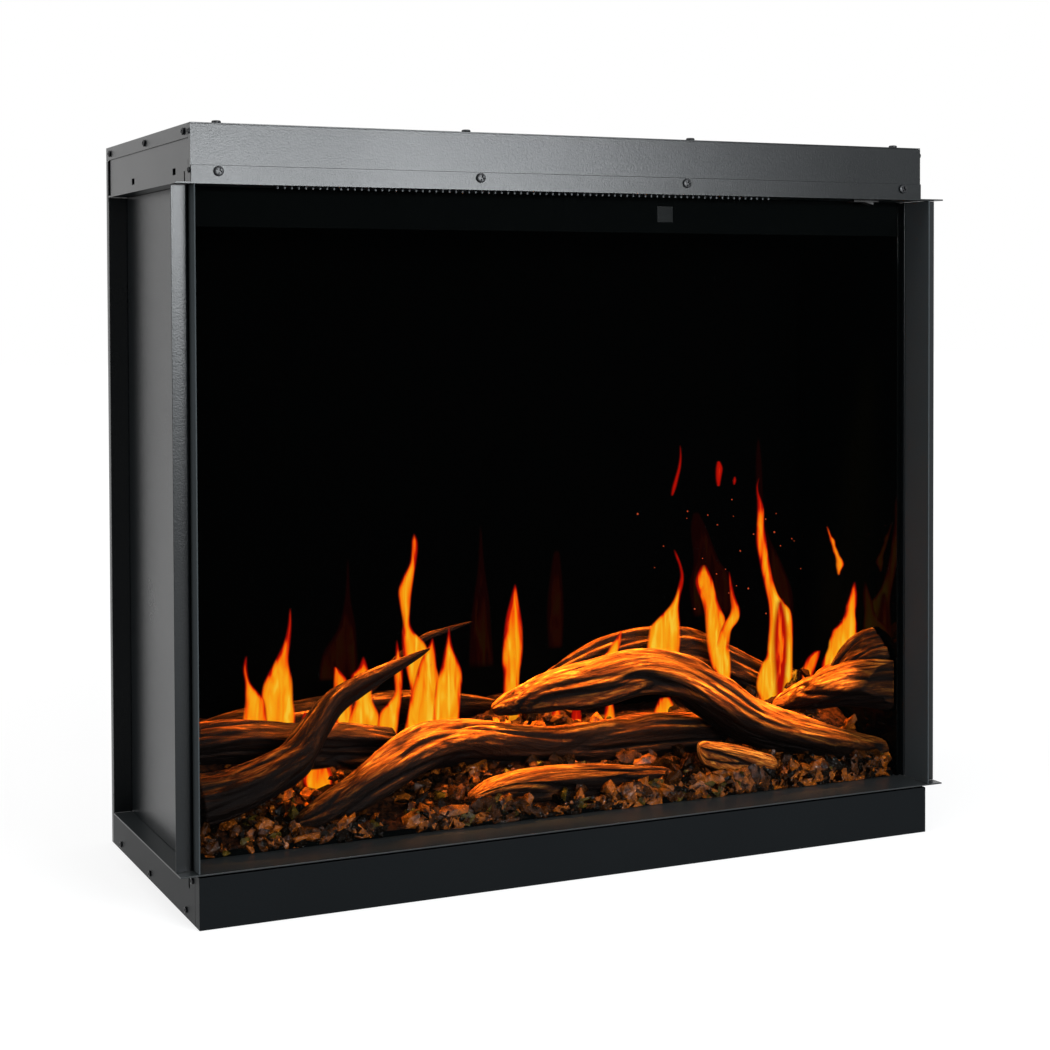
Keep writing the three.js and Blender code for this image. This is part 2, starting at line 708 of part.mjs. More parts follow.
function flame_rotor() {
  const rod_x = [bracket_x.left[0] - gap, bracket_x.right[1] + spindle_motor.length / 2];
  const pieces = [bar_along_x(rod_x, spindle_place, shaft_radius)];
  const reach = [bracket_x.left[1] + spindle.blade_pitch, bracket_x.right[0] - spindle.blade_pitch];
  const count = Math.floor((reach[1] - reach[0]) / spindle.blade_pitch);
  const golden_turn = Math.PI * (3 - Math.sqrt(5));
  for (let i = 0; i <= count; i += 1) {
    const x = around(reach[0] + i * spindle.blade_pitch, spindle.blade_width);
    const blade = slab(x, around(0, spindle.blade), [-spindle.reach, spindle.reach]);
    blade.rotateX(i * golden_turn);
    pieces.push(blade.translate(0, spindle_place[0], spindle_place[1]));
  }
  return joined(...pieces);
}

function rotor_bracket(name) {
  const x = bracket_x[name];
  const y = around(spindle_place[0], bracket.width);
  const top = spindle_place[1] + bracket.width / 2;
  const bearing = circle(spindle_place, shaft_radius + shaft_clearance);
  const plate = pierced("x", x, rectangle(y, [bed_floor, top]), [bearing]);
  const foot_x = name === "left" ? [x[0], x[0] + bracket.foot] : [x[1] - bracket.foot, x[1]];
  return joined(plate, slab(foot_x, y, [bed_floor, bed_floor + bracket.thickness]));
}

function rotor_motor() {
  const x = [bracket_x.right[1] + gap, bracket_x.right[1] + gap + spindle_motor.length];
  const can = bar_along_x(x, spindle_place, spindle_motor.radius);
  const bore_x = [x[0] - overrun, bracket_x.right[1] + spindle_motor.length / 2 + gap];
  return cut(can, bar_along_x(bore_x, spindle_place, shaft_radius + shaft_clearance));
}

const flame_board_y = around(spindle_place[0], led_board.width);
const flame_board_x = [bracket_x.left[1] + bracket.foot + gap, bracket_x.right[0] - bracket.foot - gap];
add("flame_rotor", flame_rotor(), mirror_foil);
for (const name of Object.keys(sides)) add(`rotor_bracket_${name}`, rotor_bracket(name), galvanised);
add("rotor_motor", rotor_motor(), galvanised);
add(
  "flame_led_board",
  slab(flame_board_x, flame_board_y, [bed_floor, bed_floor + led_board.thickness]),
  circuit_green,
);

// Heater blower: a curved shell over both outlets, two drum wheels on one shaft, motor between
const blower_place = [front + blower.setback, ledge_top + blower.rise];
const shell_x = [outlet_fields[0][0], outlet_fields[1][1]];
const motor_x = [outlet_fields[0][1], outlet_fields[1][0]];
const partition = blower.shell;

function blower_scroll() {
  const start = -Math.PI * 0.8;
  const end = Math.PI * 0.45;
  const shell_steps = 10;
  const outer = arc(blower_place, blower.shell_radius + blower.shell, start, end, shell_steps);
  const inner = arc(blower_place, blower.shell_radius, end, start, shell_steps);
  const shell = extruded("x", shell_x, [...outer, ...inner]);
  const plates = [shell_x[0], motor_x[0] - partition, motor_x[1], shell_x[1] - partition].map((x) => {
    const hole = circle(blower_place, shaft_radius + shaft_clearance);
    const disc = circle(blower_place, blower.shell_radius + blower.shell / 2);
    return pierced("x", [x, x + partition], disc, [hole]);
  });
  const foot_y = [blower_place[0], blower_place[0] + blower.shell_radius];
  const foot_z = [ledge_top + gap, blower_place[1] - blower.shell_radius * Math.cos(Math.PI / 4)];
  const feet = [shell_x[0], shell_x[1] - partition].map((x) => slab([x, x + partition], foot_y, foot_z));
  return joined(shell, ...plates, ...feet);
}

function blower_wheel(x) {
  const pieces = [x[0], x[1] - wheel.disc].map((start) =>
    bar_along_x([start, start + wheel.disc], blower_place, blower.wheel_radius),
  );
  for (let i = 0; i < wheel.blades; i += 1) {
    const blade_z = [blower.wheel_radius - wheel.blade_depth, blower.wheel_radius - wheel.blade];
    const blade = slab(x, around(0, wheel.blade), blade_z);
    blade.rotateX((2 * Math.PI * i) / wheel.blades);
    pieces.push(blade.translate(0, blower_place[0], blower_place[1]));
  }
  return pieces;
}

const wheel_gap = 2;
const wheel_spans = [
  [shell_x[0] + partition + wheel_gap, motor_x[0] - partition - wheel_gap],
  [motor_x[1] + partition + wheel_gap, shell_x[1] - partition - wheel_gap],
];
const shaft_join = middle(motor_x);
const shaft_spans = [
  [shell_x[0] - gap, shaft_join - gap / 2],
  [shaft_join + gap / 2, shell_x[1] + gap],
];
["left", "right"].forEach((name, i) => {
  const shaft = bar_along_x(shaft_spans[i], blower_place, shaft_radius);
  add(`blower_wheel_${name}`, joined(shaft, ...blower_wheel(wheel_spans[i])), galvanised);
});
add("blower_scroll", blower_scroll(), galvanised);

const motor_can_x = [motor_x[0] + gap, motor_x[1] - gap];
const motor_can = bar_along_x(motor_can_x, blower_place, blower_motor_radius);
const motor_bore_x = [motor_x[0] - overrun, motor_x[1] + overrun];
const motor_bore = bar_along_x(motor_bore_x, blower_place, shaft_radius + shaft_clearance);
add("blower_motor", cut(motor_can, motor_bore), galvanised);

// Heating element: a ceramic bar with fins, held over the outlet slots
function heater_element() {
  const base_z = ledge_top + heater.rise;
  const count = Math.floor((shell_x[1] - shell_x[0]) / heater.fin_pitch);
  const top = base_z + heater.height;
  const outline = [[shell_x[0], base_z], [shell_x[1], base_z], [shell_x[1], top]];
  for (let i = count - 1; i > 0; i -= 1) {
    const fin_x = around(shell_x[0] + i * heater.fin_pitch, heater.fin);
    const raised = top + heater.fin_height;
    outline.push([fin_x[1], top], [fin_x[1], raised], [fin_x[0], raised], [fin_x[0], top]);
  }
  outline.push([shell_x[0], top]);
  const y = around(middle(outlet_y), heater.depth);
  const feet = [shell_x[0], shell_x[1] - sheet].map((x) =>
    slab([x, x + sheet], y, [ledge_top + gap, base_z + heater.fin]),
  );
  return joined(extruded("y", y, outline), ...feet);
}

add("heater_element", heater_element(), galvanised);
const cutout_place = [shell_x[1] + cutout.radius + overrun, middle(outlet_y)];
const cutout_z = [ledge_top + gap, ledge_top + gap + cutout.height];
add("thermal_cutout", extruded("z", cutout_z, circle(cutout_place, cutout.radius)), black_plastic);

// Rocker switch: a square-edged housing through the ledge, and the rocker on its cross pin,
// which rests tilted at off
const switch_place = [switch_x, middle(outlet_y)];
const rocker_pivot_z = ledge_under - switch_flange - gap + rocker.thickness / 2;

function switch_housing() {
  const body_x = around(switch_place[0], rocker.length + 2 * (rocker.swing_room + switch_wall));
  const body_y = around(switch_place[1], rocker.width + 2 * (gap + switch_wall));
  const rim_x = around(switch_place[0], body_x[1] - body_x[0] + 2 * switch_flange);
  const rim_y = around(switch_place[1], body_y[1] - body_y[0] + 2 * switch_flange);
  const rim_z = [ledge_under - gap - switch_flange, ledge_under - gap];
  const body = slab(body_x, body_y, [rim_z[0], rim_z[0] + switch_depth]);
  const well_x = around(switch_place[0], rocker.length + 2 * rocker.swing_room);
  const well_y = around(switch_place[1], rocker.width + 2 * gap);
  const well_z = [rim_z[0] - overrun, rim_z[0] + switch_depth - switch_wall];
  const pin_x = around(switch_place[0], 2 * (rocker.pivot_radius + gap));
  const pin_y = around(switch_place[1], rocker.width + 2 * (gap + switch_wall / 2));
  const pin_z = around(rocker_pivot_z, 2 * (rocker.pivot_radius + gap));
  const well = slab(well_x, well_y, well_z);
  const seat = slab(pin_x, pin_y, pin_z);
  return cut(joined(body, slab(rim_x, rim_y, rim_z)), well, seat);
}

function power_switch() {
  const half = rocker.length / 2;
  const low = -rocker.thickness / 2 - rocker.proud;
  const high = rocker.thickness / 2;
  const outline = [
    [-half, low], [0, low + rocker.proud], [half, low],
    [half, high - rocker.proud], [0, high], [-half, high - rocker.proud],
  ];
  const key = extruded("y", around(0, rocker.width), outline);
  const pin = extruded("y", around(0, rocker.width + switch_wall), circle([0, 0], rocker.pivot_radius));
  const tilted = joined(key, pin).rotateY(THREE.MathUtils.degToRad(rocker_tilt_degrees));
  return tilted.translate(switch_place[0], switch_place[1], rocker_pivot_z);
}

add("switch_housing", switch_housing(), black_plastic);
add("power_switch", power_switch(), black_plastic);

// Control gear in the housing: tray, circuit board, mains terminals and the cable gland
const control_x = around(half_width - control.from_right - control.length / 2, control.length);
const control_y = [back - control.from_back - control.depth, back - control.from_back];
const control_z = [ledge_top + gap, ledge_top + gap + control.height];

function control_box() {
  const hollow = [control_x, control_y].map(([low, high]) => [low + sheet, high - sheet]);
  const hollow_z = [control_z[0] + sheet, control_z[1] + overrun];
  return cut(slab(control_x, control_y, control_z), slab(...hollow, hollow_z));
}

const board_inset = sheet + board_margin;
add("control_box", control_box(), galvanised);
add(
  "control_board",
  slab(
    [control_x[0] + board_inset, control_x[1] - board_inset],
    [control_y[0] + board_inset, control_y[1] - board_inset],
    [control_z[0] + sheet + gap, control_z[0] + sheet + gap + board_thickness],
  ),
  circuit_green,
);
const terminal_back = panel_y[1] - gland.inner - overrun;
const terminal_y = [terminal_back - terminal.depth, terminal_back];
const terminal_z = [ledge_top + gap, ledge_top + gap + terminal.height];
add("terminal_block", slab(around(gland_place[0], terminal.length), terminal_y, terminal_z), black_plastic);

// The gland is a hollow threaded sleeve with a nut on each side of the back panel
function cable_gland() {
  const { bore_radius, thread_radius, nut_radius, nut, inner } = gland;
  const rim_share = 0.8;
  const profile = [
    [bore_radius, -inner], [thread_radius, -inner], [thread_radius, -nut - gap], [nut_radius, -nut - gap],
    [nut_radius, -sheet - gap], [thread_radius, -sheet - gap], [thread_radius, -sheet], [thread_radius, 0],
  ];
  const outer = [[nut_radius, gap], [nut_radius, nut * rim_share], [bore_radius, nut * rim_share]];
  const ring = [...profile, [thread_radius, gap], ...outer, [bore_radius, -inner]];
  const sleeve = new THREE.LatheGeometry(ring.map(([r, h]) => new THREE.Vector2(r, h)), circle_steps);
  return sleeve.translate(gland_place[0], panel_y[1], gland_place[1]);
}

add("cable_gland", cable_gland(), black_plastic);

export default fireplace;
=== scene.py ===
import json
import math
import random

import bpy
from mathutils import Matrix, Vector, noise

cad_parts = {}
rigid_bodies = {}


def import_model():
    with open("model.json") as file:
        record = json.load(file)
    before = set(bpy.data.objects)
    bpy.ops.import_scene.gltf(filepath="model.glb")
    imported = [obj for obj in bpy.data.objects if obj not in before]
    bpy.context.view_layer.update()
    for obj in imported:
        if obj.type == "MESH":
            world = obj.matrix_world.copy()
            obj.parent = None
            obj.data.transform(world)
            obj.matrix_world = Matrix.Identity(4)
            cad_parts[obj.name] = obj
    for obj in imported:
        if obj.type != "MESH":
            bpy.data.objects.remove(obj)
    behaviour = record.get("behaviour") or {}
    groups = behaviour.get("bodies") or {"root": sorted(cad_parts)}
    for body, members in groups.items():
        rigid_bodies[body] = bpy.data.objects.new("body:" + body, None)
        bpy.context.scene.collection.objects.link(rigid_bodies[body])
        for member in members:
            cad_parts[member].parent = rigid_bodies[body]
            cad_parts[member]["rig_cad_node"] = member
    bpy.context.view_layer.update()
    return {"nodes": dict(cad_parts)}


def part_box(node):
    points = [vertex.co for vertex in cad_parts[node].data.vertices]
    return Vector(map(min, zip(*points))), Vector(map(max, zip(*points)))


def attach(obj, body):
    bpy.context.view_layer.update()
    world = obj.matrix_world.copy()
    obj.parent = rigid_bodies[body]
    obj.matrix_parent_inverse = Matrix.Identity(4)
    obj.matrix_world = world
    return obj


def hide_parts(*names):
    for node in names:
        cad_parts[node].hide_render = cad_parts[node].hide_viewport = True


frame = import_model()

# Built-in electric fireplace: a black powder-coated steel casing for building into a wall,
# glazed, with resin logs on a bed of crushed glass and flames thrown up between the logs.
bpy.ops.object.select_all(action="DESELECT")


# ------------ photographer's set
# The camera stands left of the middle and at glass height, looking slightly down.
# The floor is pale and plain, and the backdrop is white paper lit on its own.
camera_place = Vector((-0.9683, -2.1029, 0.6157))
camera_turn, camera_dip, camera_roll = math.radians(24.85), math.radians(1.5), math.radians(-0.2)
bpy.ops.object.camera_add(location=camera_place)
camera = bpy.context.object
facing = Matrix.Rotation(-camera_turn, 4, "Z") @ Matrix.Rotation(math.pi / 2 - camera_dip, 4, "X")
camera.rotation_euler = (facing @ Matrix.Rotation(camera_roll, 4, "Z")).to_euler()
camera.data.lens = 68.66
camera.data.sensor_width = 36
camera.data.shift_y = -0.157
camera.data.clip_end = 60
bpy.context.scene.camera = camera
bpy.context.scene.view_settings.view_transform = "Standard"


def srgb(code):
    """A hex colour as the linear colour that a shader takes."""
    parts = [int(code[i : i + 2], 16) / 255 for i in (1, 3, 5)]
    return [c / 12.92 if c <= 0.04045 else ((c + 0.055) / 1.055) ** 2.4 for c in parts] + [1]


def add_node(material, kind, settings=None, links=None):
    """A shader node with its settings or socket values and its links; a linked node gives its first output."""
    node = material.node_tree.nodes.new("ShaderNode" + kind)
    for name, value in (settings or {}).items():
        if isinstance(name, int) or name in node.inputs:
            node.inputs[name].default_value = value
        else:
            setattr(node, name, value)
    for name, source in (links or {}).items():
        socket = source.outputs[0] if hasattr(source, "outputs") else source
        material.node_tree.links.new(socket, node.inputs[name])
    return node


def new_material(name):
    """A material with nothing in it yet."""
    material = bpy.data.materials.new(name)
    material.use_nodes = True
    material.node_tree.nodes.clear()
    return material


def seen_directly(material):
    """1 for rays from the camera, also in a mirror and through glass, and 0 for rays that light things."""
    ray = add_node(material, "LightPath").outputs
    seen = ray["Is Camera Ray"]
    for other in ("Is Glossy Ray", "Is Transmission Ray"):
        seen = add_node(material, "Math", {"operation": "MAXIMUM"}, {0: seen, 1: ray[other]})
    return seen


white = (1, 1, 1, 1)
# White paper all round: it shows as white and gives only a weak, even light
world = bpy.data.worlds.new("white_paper_room")
bpy.context.scene.world = world
world.use_nodes = True
world.node_tree.nodes.clear()
ambient = add_node(world, "Background", {"Color": white, "Strength": 0.35})
paper = add_node(world, "Background", {"Color": white, "Strength": 1.0})
both = add_node(world, "MixShader", {}, {0: seen_directly(world), 1: ambient, 2: paper})
add_node(world, "OutputWorld", {}, {"Surface": both})

# Matt white paper: the floor sweep takes the soft shadow
floor_paper = new_material("matt_paper_sweep")
sheet_grain = add_node(floor_paper, "TexNoise", {"Scale": 6.0, "Detail": 2.0})
paper_tones = {"data_type": "RGBA", "A": srgb("#8A8A8A"), "B": srgb("#909090")}
tone = add_node(floor_paper, "Mix", paper_tones, {"Factor": sheet_grain})
matt = {"Roughness": 0.9, "Specular IOR Level": 0.0}
paper_face = add_node(floor_paper, "BsdfPrincipled", matt, {"Base Color": tone.outputs["Result"]})
# the sheet is lit on its own further out, so that its far edge is as white as the backdrop
floor_place = add_node(floor_paper, "TexCoord").outputs["Object"]
away = add_node(floor_paper, "VectorMath", {"operation": "LENGTH"}, {0: floor_place})
rise_outward = {"From Min": 0.8, "From Max": 3.5, "To Min": 0.79, "To Max": 0.96}
lift = add_node(floor_paper, "MapRange", rise_outward, {"Value": away.outputs["Value"]})
glow = add_node(floor_paper, "Math", {"operation": "MULTIPLY"}, {0: seen_directly(floor_paper), 1: lift})
paper_lift = add_node(floor_paper, "Emission", {"Color": white}, {"Strength": glow})
paper_sum = add_node(floor_paper, "AddShader", {}, {0: paper_face, 1: paper_lift})
add_node(floor_paper, "OutputMaterial", {}, {"Surface": paper_sum})
floor_width, floor_level = 40, -0.0005
bpy.ops.mesh.primitive_plane_add(size=floor_width, location=(0, 0, floor_level))
floor = bpy.context.object
floor.name = "paper_floor"
floor.data.materials.append(floor_paper)


def soft_lamp(name, place, target, width, height, power, color):
    """A rectangular soft box that faces its target."""
    bpy.ops.object.light_add(type="AREA", location=place)
    lamp = bpy.context.object
    lamp.name = name
    lamp.data.shape = "RECTANGLE"
    lamp.data.size, lamp.data.size_y = width, height
    lamp.data.energy = power
    lamp.data.color = color
    lamp.rotation_euler = (Vector(target) - Vector(place)).to_track_quat("-Z", "Y").to_euler()
    return lamp


soft_lamp("front_box", (0.36, -2.2, 0.86), (-0.25, -0.17, 0.74), 1.25, 0.3, 64, (0.93, 0.97, 1.0))
soft_lamp("top_box", (-0.6, -0.2, 3.2), (0, 0, 0.4), 2.4, 2.4, 45, (1.0, 1.0, 1.0))
soft_lamp("left_box", (-3.0, 0.2, 1.3), (0, 0, 0.5), 1.2, 1.2, 22, (0.96, 0.98, 1.0))


# ------------ base box
# The plinth is a floor sheet with two folded sides and a plain front fascia, all in 1.2 mm
# steel, spot-welded and then powder-coated with the rest of the casing.

def patterned(
    name, pattern, settings, tones=None, rough=None, relief=None,
    kind="TexNoise", spread=(0, 1), stretch=None, relief_pattern=None, tinted="Base Color",
):
    """A material whose colour, roughness or relief shifts with one pattern laid over the object in metres.

    The pattern gives its own colours, or shifts the colour between two tones."""
    material = new_material(name)
    place = add_node(material, "TexCoord").outputs["Object"]
    if stretch:
        place = add_node(material, "Mapping", {"Scale": stretch}, {"Vector": place})
    figure = add_node(material, kind, pattern, {"Vector": place})
    links = {tinted: figure} if "Color1" in pattern else {}
    if tones:
        shades = {"data_type": "RGBA", "A": srgb(tones[0]), "B": srgb(tones[1])}
        links[tinted] = add_node(material, "Mix", shades, {"Factor": figure}).outputs["Result"]
    if rough:
        span = {"From Min": spread[0], "From Max": spread[1], "To Min": rough[0], "To Max": rough[1]}
        links["Roughness"] = add_node(material, "MapRange", span, {"Value": figure})
    if relief:
        height = add_node(material, kind, relief_pattern, {"Vector": place}) if relief_pattern else figure
        depth = {"Strength": relief[0], "Distance": relief[1]}
        links["Normal"] = add_node(material, "Bump", depth, {"Height": height})
    face = add_node(material, "BsdfPrincipled", settings, links)
    add_node(material, "OutputMaterial", {}, {"Surface": face})
    return material


# Powder coat on mild steel: baked polymer with a fine orange-peel skin. Satin charcoal, so the soft
# box leaves a broad grey sheen and the shaded faces stay nearly black.
def powder_paint(name, dark, light, rough, gloss):
    """Powder coat with orange peel; the peel is about 0.5 mm, drawn at 2 mm so that it shows."""
    return patterned(
        name,
        {"Scale": 5.0, "Detail": 3.0},
        {"IOR": 1.5, "Specular IOR Level": gloss},
        tones=(dark, light),
        rough=(rough - 0.02, rough + 0.02),
        relief=(0.4, 0.0004),
        spread=(0.3, 0.7),
        relief_pattern={"Scale": 500.0, "Detail": 3.0, "Roughness": 0.6},
    )


powder_coat = powder_paint("charcoal_powder_coat", "#0A0D0F", "#0E1214", 0.29, 0.25)
# The plinth has the same powder in its matt grade, which takes hardly any sheen
matt_coat = powder_paint("matt_black_powder_coat", "#090C0E", "#0C0F11", 0.42, 0.06)
smooth_up_to = math.radians(35)


def copy_of(original, name, material):
    """A copy of an object in that material, the only one selected."""
    bpy.ops.object.select_all(action="DESELECT")
    bpy.context.view_layer.objects.active = original
    original.select_set(True)
    bpy.ops.object.duplicate()
    piece = bpy.context.object
    piece.name = name
    piece.data.materials.clear()
    piece.data.materials.append(material)
    return piece


def reshape(piece, name, kind, **settings):
    """A modifier with its settings, applied at once."""
    bpy.context.view_layer.objects.active = piece
    change = piece.modifiers.new(name, kind)
    for setting, value in settings.items():
        setattr(change, setting, value)
    bpy.ops.object.modifier_apply(modifier=name)


def in_edit_mode(*steps):
    """Mesh operators with their settings, each run on all of the active piece."""
    bpy.ops.object.mode_set(mode="EDIT")
    for step, settings in steps:
        bpy.ops.mesh.select_all(action="SELECT")
        step(**settings)
    bpy.ops.object.mode_set(mode="OBJECT")


merge, flatten_faces = bpy.ops.mesh.remove_doubles, bpy.ops.mesh.dissolve_limited
turn_outward = (bpy.ops.mesh.normals_make_consistent, {"inside": False})


def folded_sheet(node, material, edge_mm=0.4, body="casing"):
    """A copy of a solid of the casing, merged, with its cut and folded edges eased as a press leaves them."""
    piece = copy_of(frame["nodes"][node], node + "_sheet", material)
    del piece["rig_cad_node"]
    piece.parent = None
    in_edit_mode((merge, {"threshold": 0.00001}), (flatten_faces, {"angle_limit": math.radians(1)}))
    sharp = math.radians(40)
    reshape(piece, "eased_edge", "BEVEL", width=edge_mm / 1000, segments=2, limit_method="ANGLE", angle_limit=sharp)
    bpy.ops.object.shade_smooth_by_angle(angle=smooth_up_to)
    reshape(piece, "flat_faces", "WEIGHTED_NORMAL", weight=100, keep_sharp=True)
    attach(piece, body)
    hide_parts(node)


for part in ("base_floor", "base_side_left", "base_side_right", "base_fascia"):
    folded_sheet(part, matt_coat)


# Black lacquer over zinc on the screws: darker than the coat round them, with a soft gleam
screw_black = patterned(
    "black_lacquered_screw",
    {"Scale": 900.0, "Detail": 2.0},
    {"Roughness": 0.36, "Specular IOR Level": 0.28},
    tones=("#0C0D0F", "#1C1D20"),
)

# One pan-head screw with a cross recess, of head radius and height 1, is turned up and then copied
bpy.ops.mesh.primitive_cylinder_add(vertices=20, radius=1, depth=1, location=(0, 0, 0.5))
screw_blank = bpy.context.object
screw_blank.name = "screw_blank"
reshape(screw_blank, "crown", "BEVEL", width=0.38, segments=3, limit_method="ANGLE", angle_limit=math.radians(60))
for turn in (0, math.pi / 2):
    bpy.ops.mesh.primitive_cube_add(size=1, location=(0, 0, 1.0))
    blade = bpy.context.object
    blade.scale = (1.24, 0.40, 1.5)
    blade.rotation_euler = (0, 0, turn)
    bpy.context.view_layer.update()
    reshape(screw_blank, "recess", "BOOLEAN", object=blade, operation="DIFFERENCE", solver="EXACT")
    bpy.data.objects.remove(blade)
screw_blank.select_set(True)
bpy.ops.object.transform_apply(location=True, rotation=True, scale=True)


def pan_screw(name, place, outward, radius_mm=3.8, height_mm=2.4, replaces=None):
    """A copy of the pan head, seated at a place in metres with its head pointing outward."""
    screw = copy_of(screw_blank, name, screw_black)
    size = Matrix.Diagonal((radius_mm / 1000, radius_mm / 1000, height_mm / 1000, 1))
    driven = Matrix.Rotation(len(name) * 0.7, 4, "Z")  # each recess stops at an angle of its own
    turn = Vector(outward).to_track_quat("Z", "Y").to_matrix().to_4x4() @ driven
    screw.data.transform(Matrix.Translation(place) @ turn @ size)
    bpy.ops.object.shade_smooth_by_angle(angle=smooth_up_to)
    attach(screw, "casing")
    if replaces:
        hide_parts(replaces)


half_width = -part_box("base_side_left")[0].x
front_y = -0.1875
sides = (("left", -1), ("right", 1))
# how far behind the front and how high the screws of each base side sit: three low, two high
base_screws = ((0.054, 0.008), (0.200, 0.0075), (0.330, 0.0075), (0.029, 0.044), (0.200, 0.040))
# A nut plate is held behind each fixing slot of the base, so no light comes through
for side, sign in sides:
    bpy.ops.mesh.primitive_cube_add(size=1, location=(sign * (half_width - 0.0023), front_y + 0.042, 0.040))
    plate = bpy.context.object
    plate.name = "slot_nut_plate_" + side
    plate.scale = (0.0016, 0.034, 0.018)
    bpy.ops.object.transform_apply(location=True, rotation=False, scale=True)
    reshape(plate, "eased_edge", "BEVEL", width=0.0004, segments=2)
    bpy.ops.object.shade_smooth_by_angle(angle=smooth_up_to)
    plate.data.materials.append(screw_black)
    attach(plate, "casing")
for side, sign in sides:
    for i, (depth, rise) in enumerate(base_screws):
        spot = (sign * half_width, front_y + depth, rise)
        pan_screw(f"base_screw_{side}_{i + 1}", spot, (sign, 0, 0), 3.4, 2.0)


# ------------ ledges
# Two wide plates of 1.5 mm steel shut the firebox below and above. Their front and side edges stand
# 20 mm out as the trim frame. The upper one has the slots of the warm-air outlet.

# The hearth plate is the same coat, painted a little greyer all over: a painted reflection of the light that grazes
# its top
painted_reflection_coat = powder_paint("painted_reflection_powder_coat", "#1C1F20", "#272A2B", 0.32, 0.25)
folded_sheet("hearth_plate", painted_reflection_coat, 0.3)


def finish_node(node, material):
    """A hidden or plain solid keeps its own shape and takes its finish."""
    frame["nodes"][node].data.materials.clear()
    frame["nodes"][node].data.materials.append(material)


finish_node("top_ledge", powder_coat)


def small_ball(subdivisions):
    """The corners and faces of a ball of radius 1, to be repeated in a mesh of many small pieces."""
    bpy.ops.object.select_all(action="DESELECT")
    bpy.ops.mesh.primitive_ico_sphere_add(subdivisions=subdivisions, radius=1)
    ball = bpy.context.object
    shape = [v.co.copy() for v in ball.data.vertices], [tuple(side.vertices) for side in ball.data.polygons]
    bpy.data.objects.remove(ball)
    return shape


def many_copies(name, corners, ball, material):
    """One object of many copies of a ball, whose corners are given one copy after another."""
    copies = range(0, len(corners), len(ball[0]))
    mesh = bpy.data.meshes.new(name)
    mesh.from_pydata(corners, [], [tuple(first + c for c in side) for first in copies for side in ball[1]])
    mesh.materials.append(material)
    piece = bpy.data.objects.new(name, mesh)
    bpy.context.scene.collection.objects.link(piece)
    return piece


# Dimples pressed down along the outlet's front edge stiffen it; their crests are painted light grey as painted
# highlights
glint_painted_coat = powder_paint("painted_highlight_powder_coat", "#5E6264", "#787C7E", 0.4, 0.3)
ball = small_ball(2)
row_start, row_pitch, row_y = -0.344, 0.0075, -0.163
row_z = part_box("top_ledge")[0].z - 0.0006
crests = [
    Vector((row_start + row_pitch * k + 0.0011 * c.x, row_y + 0.0012 * c.y, row_z + 0.0018 * c.z))
    for k in range(78)
    for c in ball[0]
]
dimples = many_copies("outlet_dimples", crests, ball, glint_painted_coat)
bpy.context.view_layer.objects.active = dimples
dimples.select_set(True)
bpy.ops.object.shade_smooth()
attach(dimples, "casing")


# ------------ uprights
# Corner posts with the fixing flange, front reveals, removable side covers and rear sides:
# folded 1.2 mm sheet, screwed between the ledges and powder-coated.
for part in ("corner_post", "side_cover", "rear_side"):
    for side in ("left", "right"):
        folded_sheet(f"{part}_{side}", powder_coat)
# The reveals are painted a light graphite grey, a painted sheen for the light they catch, in a matt grade so that
# the flames don't show in them
sheen_painted_reveal_coat = powder_paint("matt_powder_coat_with_painted_sheen", "#3A3E3F", "#42474A", 0.7, 0.03)
for side in ("left", "right"):
    folded_sheet(f"reveal_{side}", sheen_painted_reveal_coat, 0.5)


# ------------ back panel
# A shallow tray open to the rear, pressed with rows of vent slots and screwed on all round.
folded_sheet("back_panel", powder_coat, 0.3)
panel_low, panel_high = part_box("back_panel")
panel_face = panel_low.y + 0.0012
for i in range(5):
    across = (i / 4 - 0.5) * (panel_high.x - panel_low.x - 0.04)
    for rise, level in (("low", 0.014), ("high", 0.770)):
        if not (rise == "high" and i == 4):
            pan_screw(f"back_screw_{rise}_{i + 1}", (across, panel_face, level), (0, 1, 0))
for i in range(3):
    level = 0.2 + 0.19 * i
    for side, sign in sides:
        pan_screw(f"back_screw_{side}_{i + 1}", (sign * (half_width - 0.02), panel_face, level), (0, 1, 0))


# ------------ heater housing
# Two pierced sides, the folded fascia with its lower strip, and the flanged lid, held by pan-head
# screws: M5 on the front and the lid, M4 on the flanges.
for part in ("housing_side_left", "housing_side_right", "top_fascia", "outlet_strip", "top_cover"):
    folded_sheet(part, powder_coat, 0.4)
for i in range(4):
    low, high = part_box(f"lid_screw_{i + 1}")
    seat = Vector(((low.x + high.x) / 2, (low.y + high.y) / 2, high.z - 0.003))
    pan_screw(f"lid_screw_{i + 1}_head", seat, (0, 0, 1), 4.8, 3.0, f"lid_screw_{i + 1}")
strip_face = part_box("outlet_strip")[0].y
for i, across in enumerate((-0.408, -0.1246, 0.123, 0.410)):
    pan_screw(f"strip_screw_{i + 1}", (across, strip_face, 0.752), (0, -1, 0), 5.1, 2.8)
for side, sign in sides:
    for i, depth in enumerate((0.041, 0.197, 0.356)):
        pan_screw(f"lid_flange_screw_{side}_{i + 1}", (sign * half_width, front_y + depth, 0.7925), (sign, 0, 0))
    for i, level in enumerate((0.7915, 0.753)):
        spot = (sign * half_width, front_y + 0.0205, level)
        pan_screw(f"fascia_screw_{side}_{i + 1}", spot, (sign, 0, 0), 3.0, 2.0)


# ------------ heater and blower
# Behind the fascia: a galvanised blower shell, two drum wheels on the motor's shaft and a finned
# heating element over the outlet slots. All of it is hidden when the lid is on.

# Galvanised sheet: hot-dipped zinc crystals about 8 mm across give it a faint patchwork
galvanised = patterned(
    "galvanised_sheet",
    {"Scale": 120.0},
    {"Metallic": 1.0},
    tones=("#8E9498", "#B4B9BC"),
    rough=(0.28, 0.5),
    kind="TexVoronoi",
)
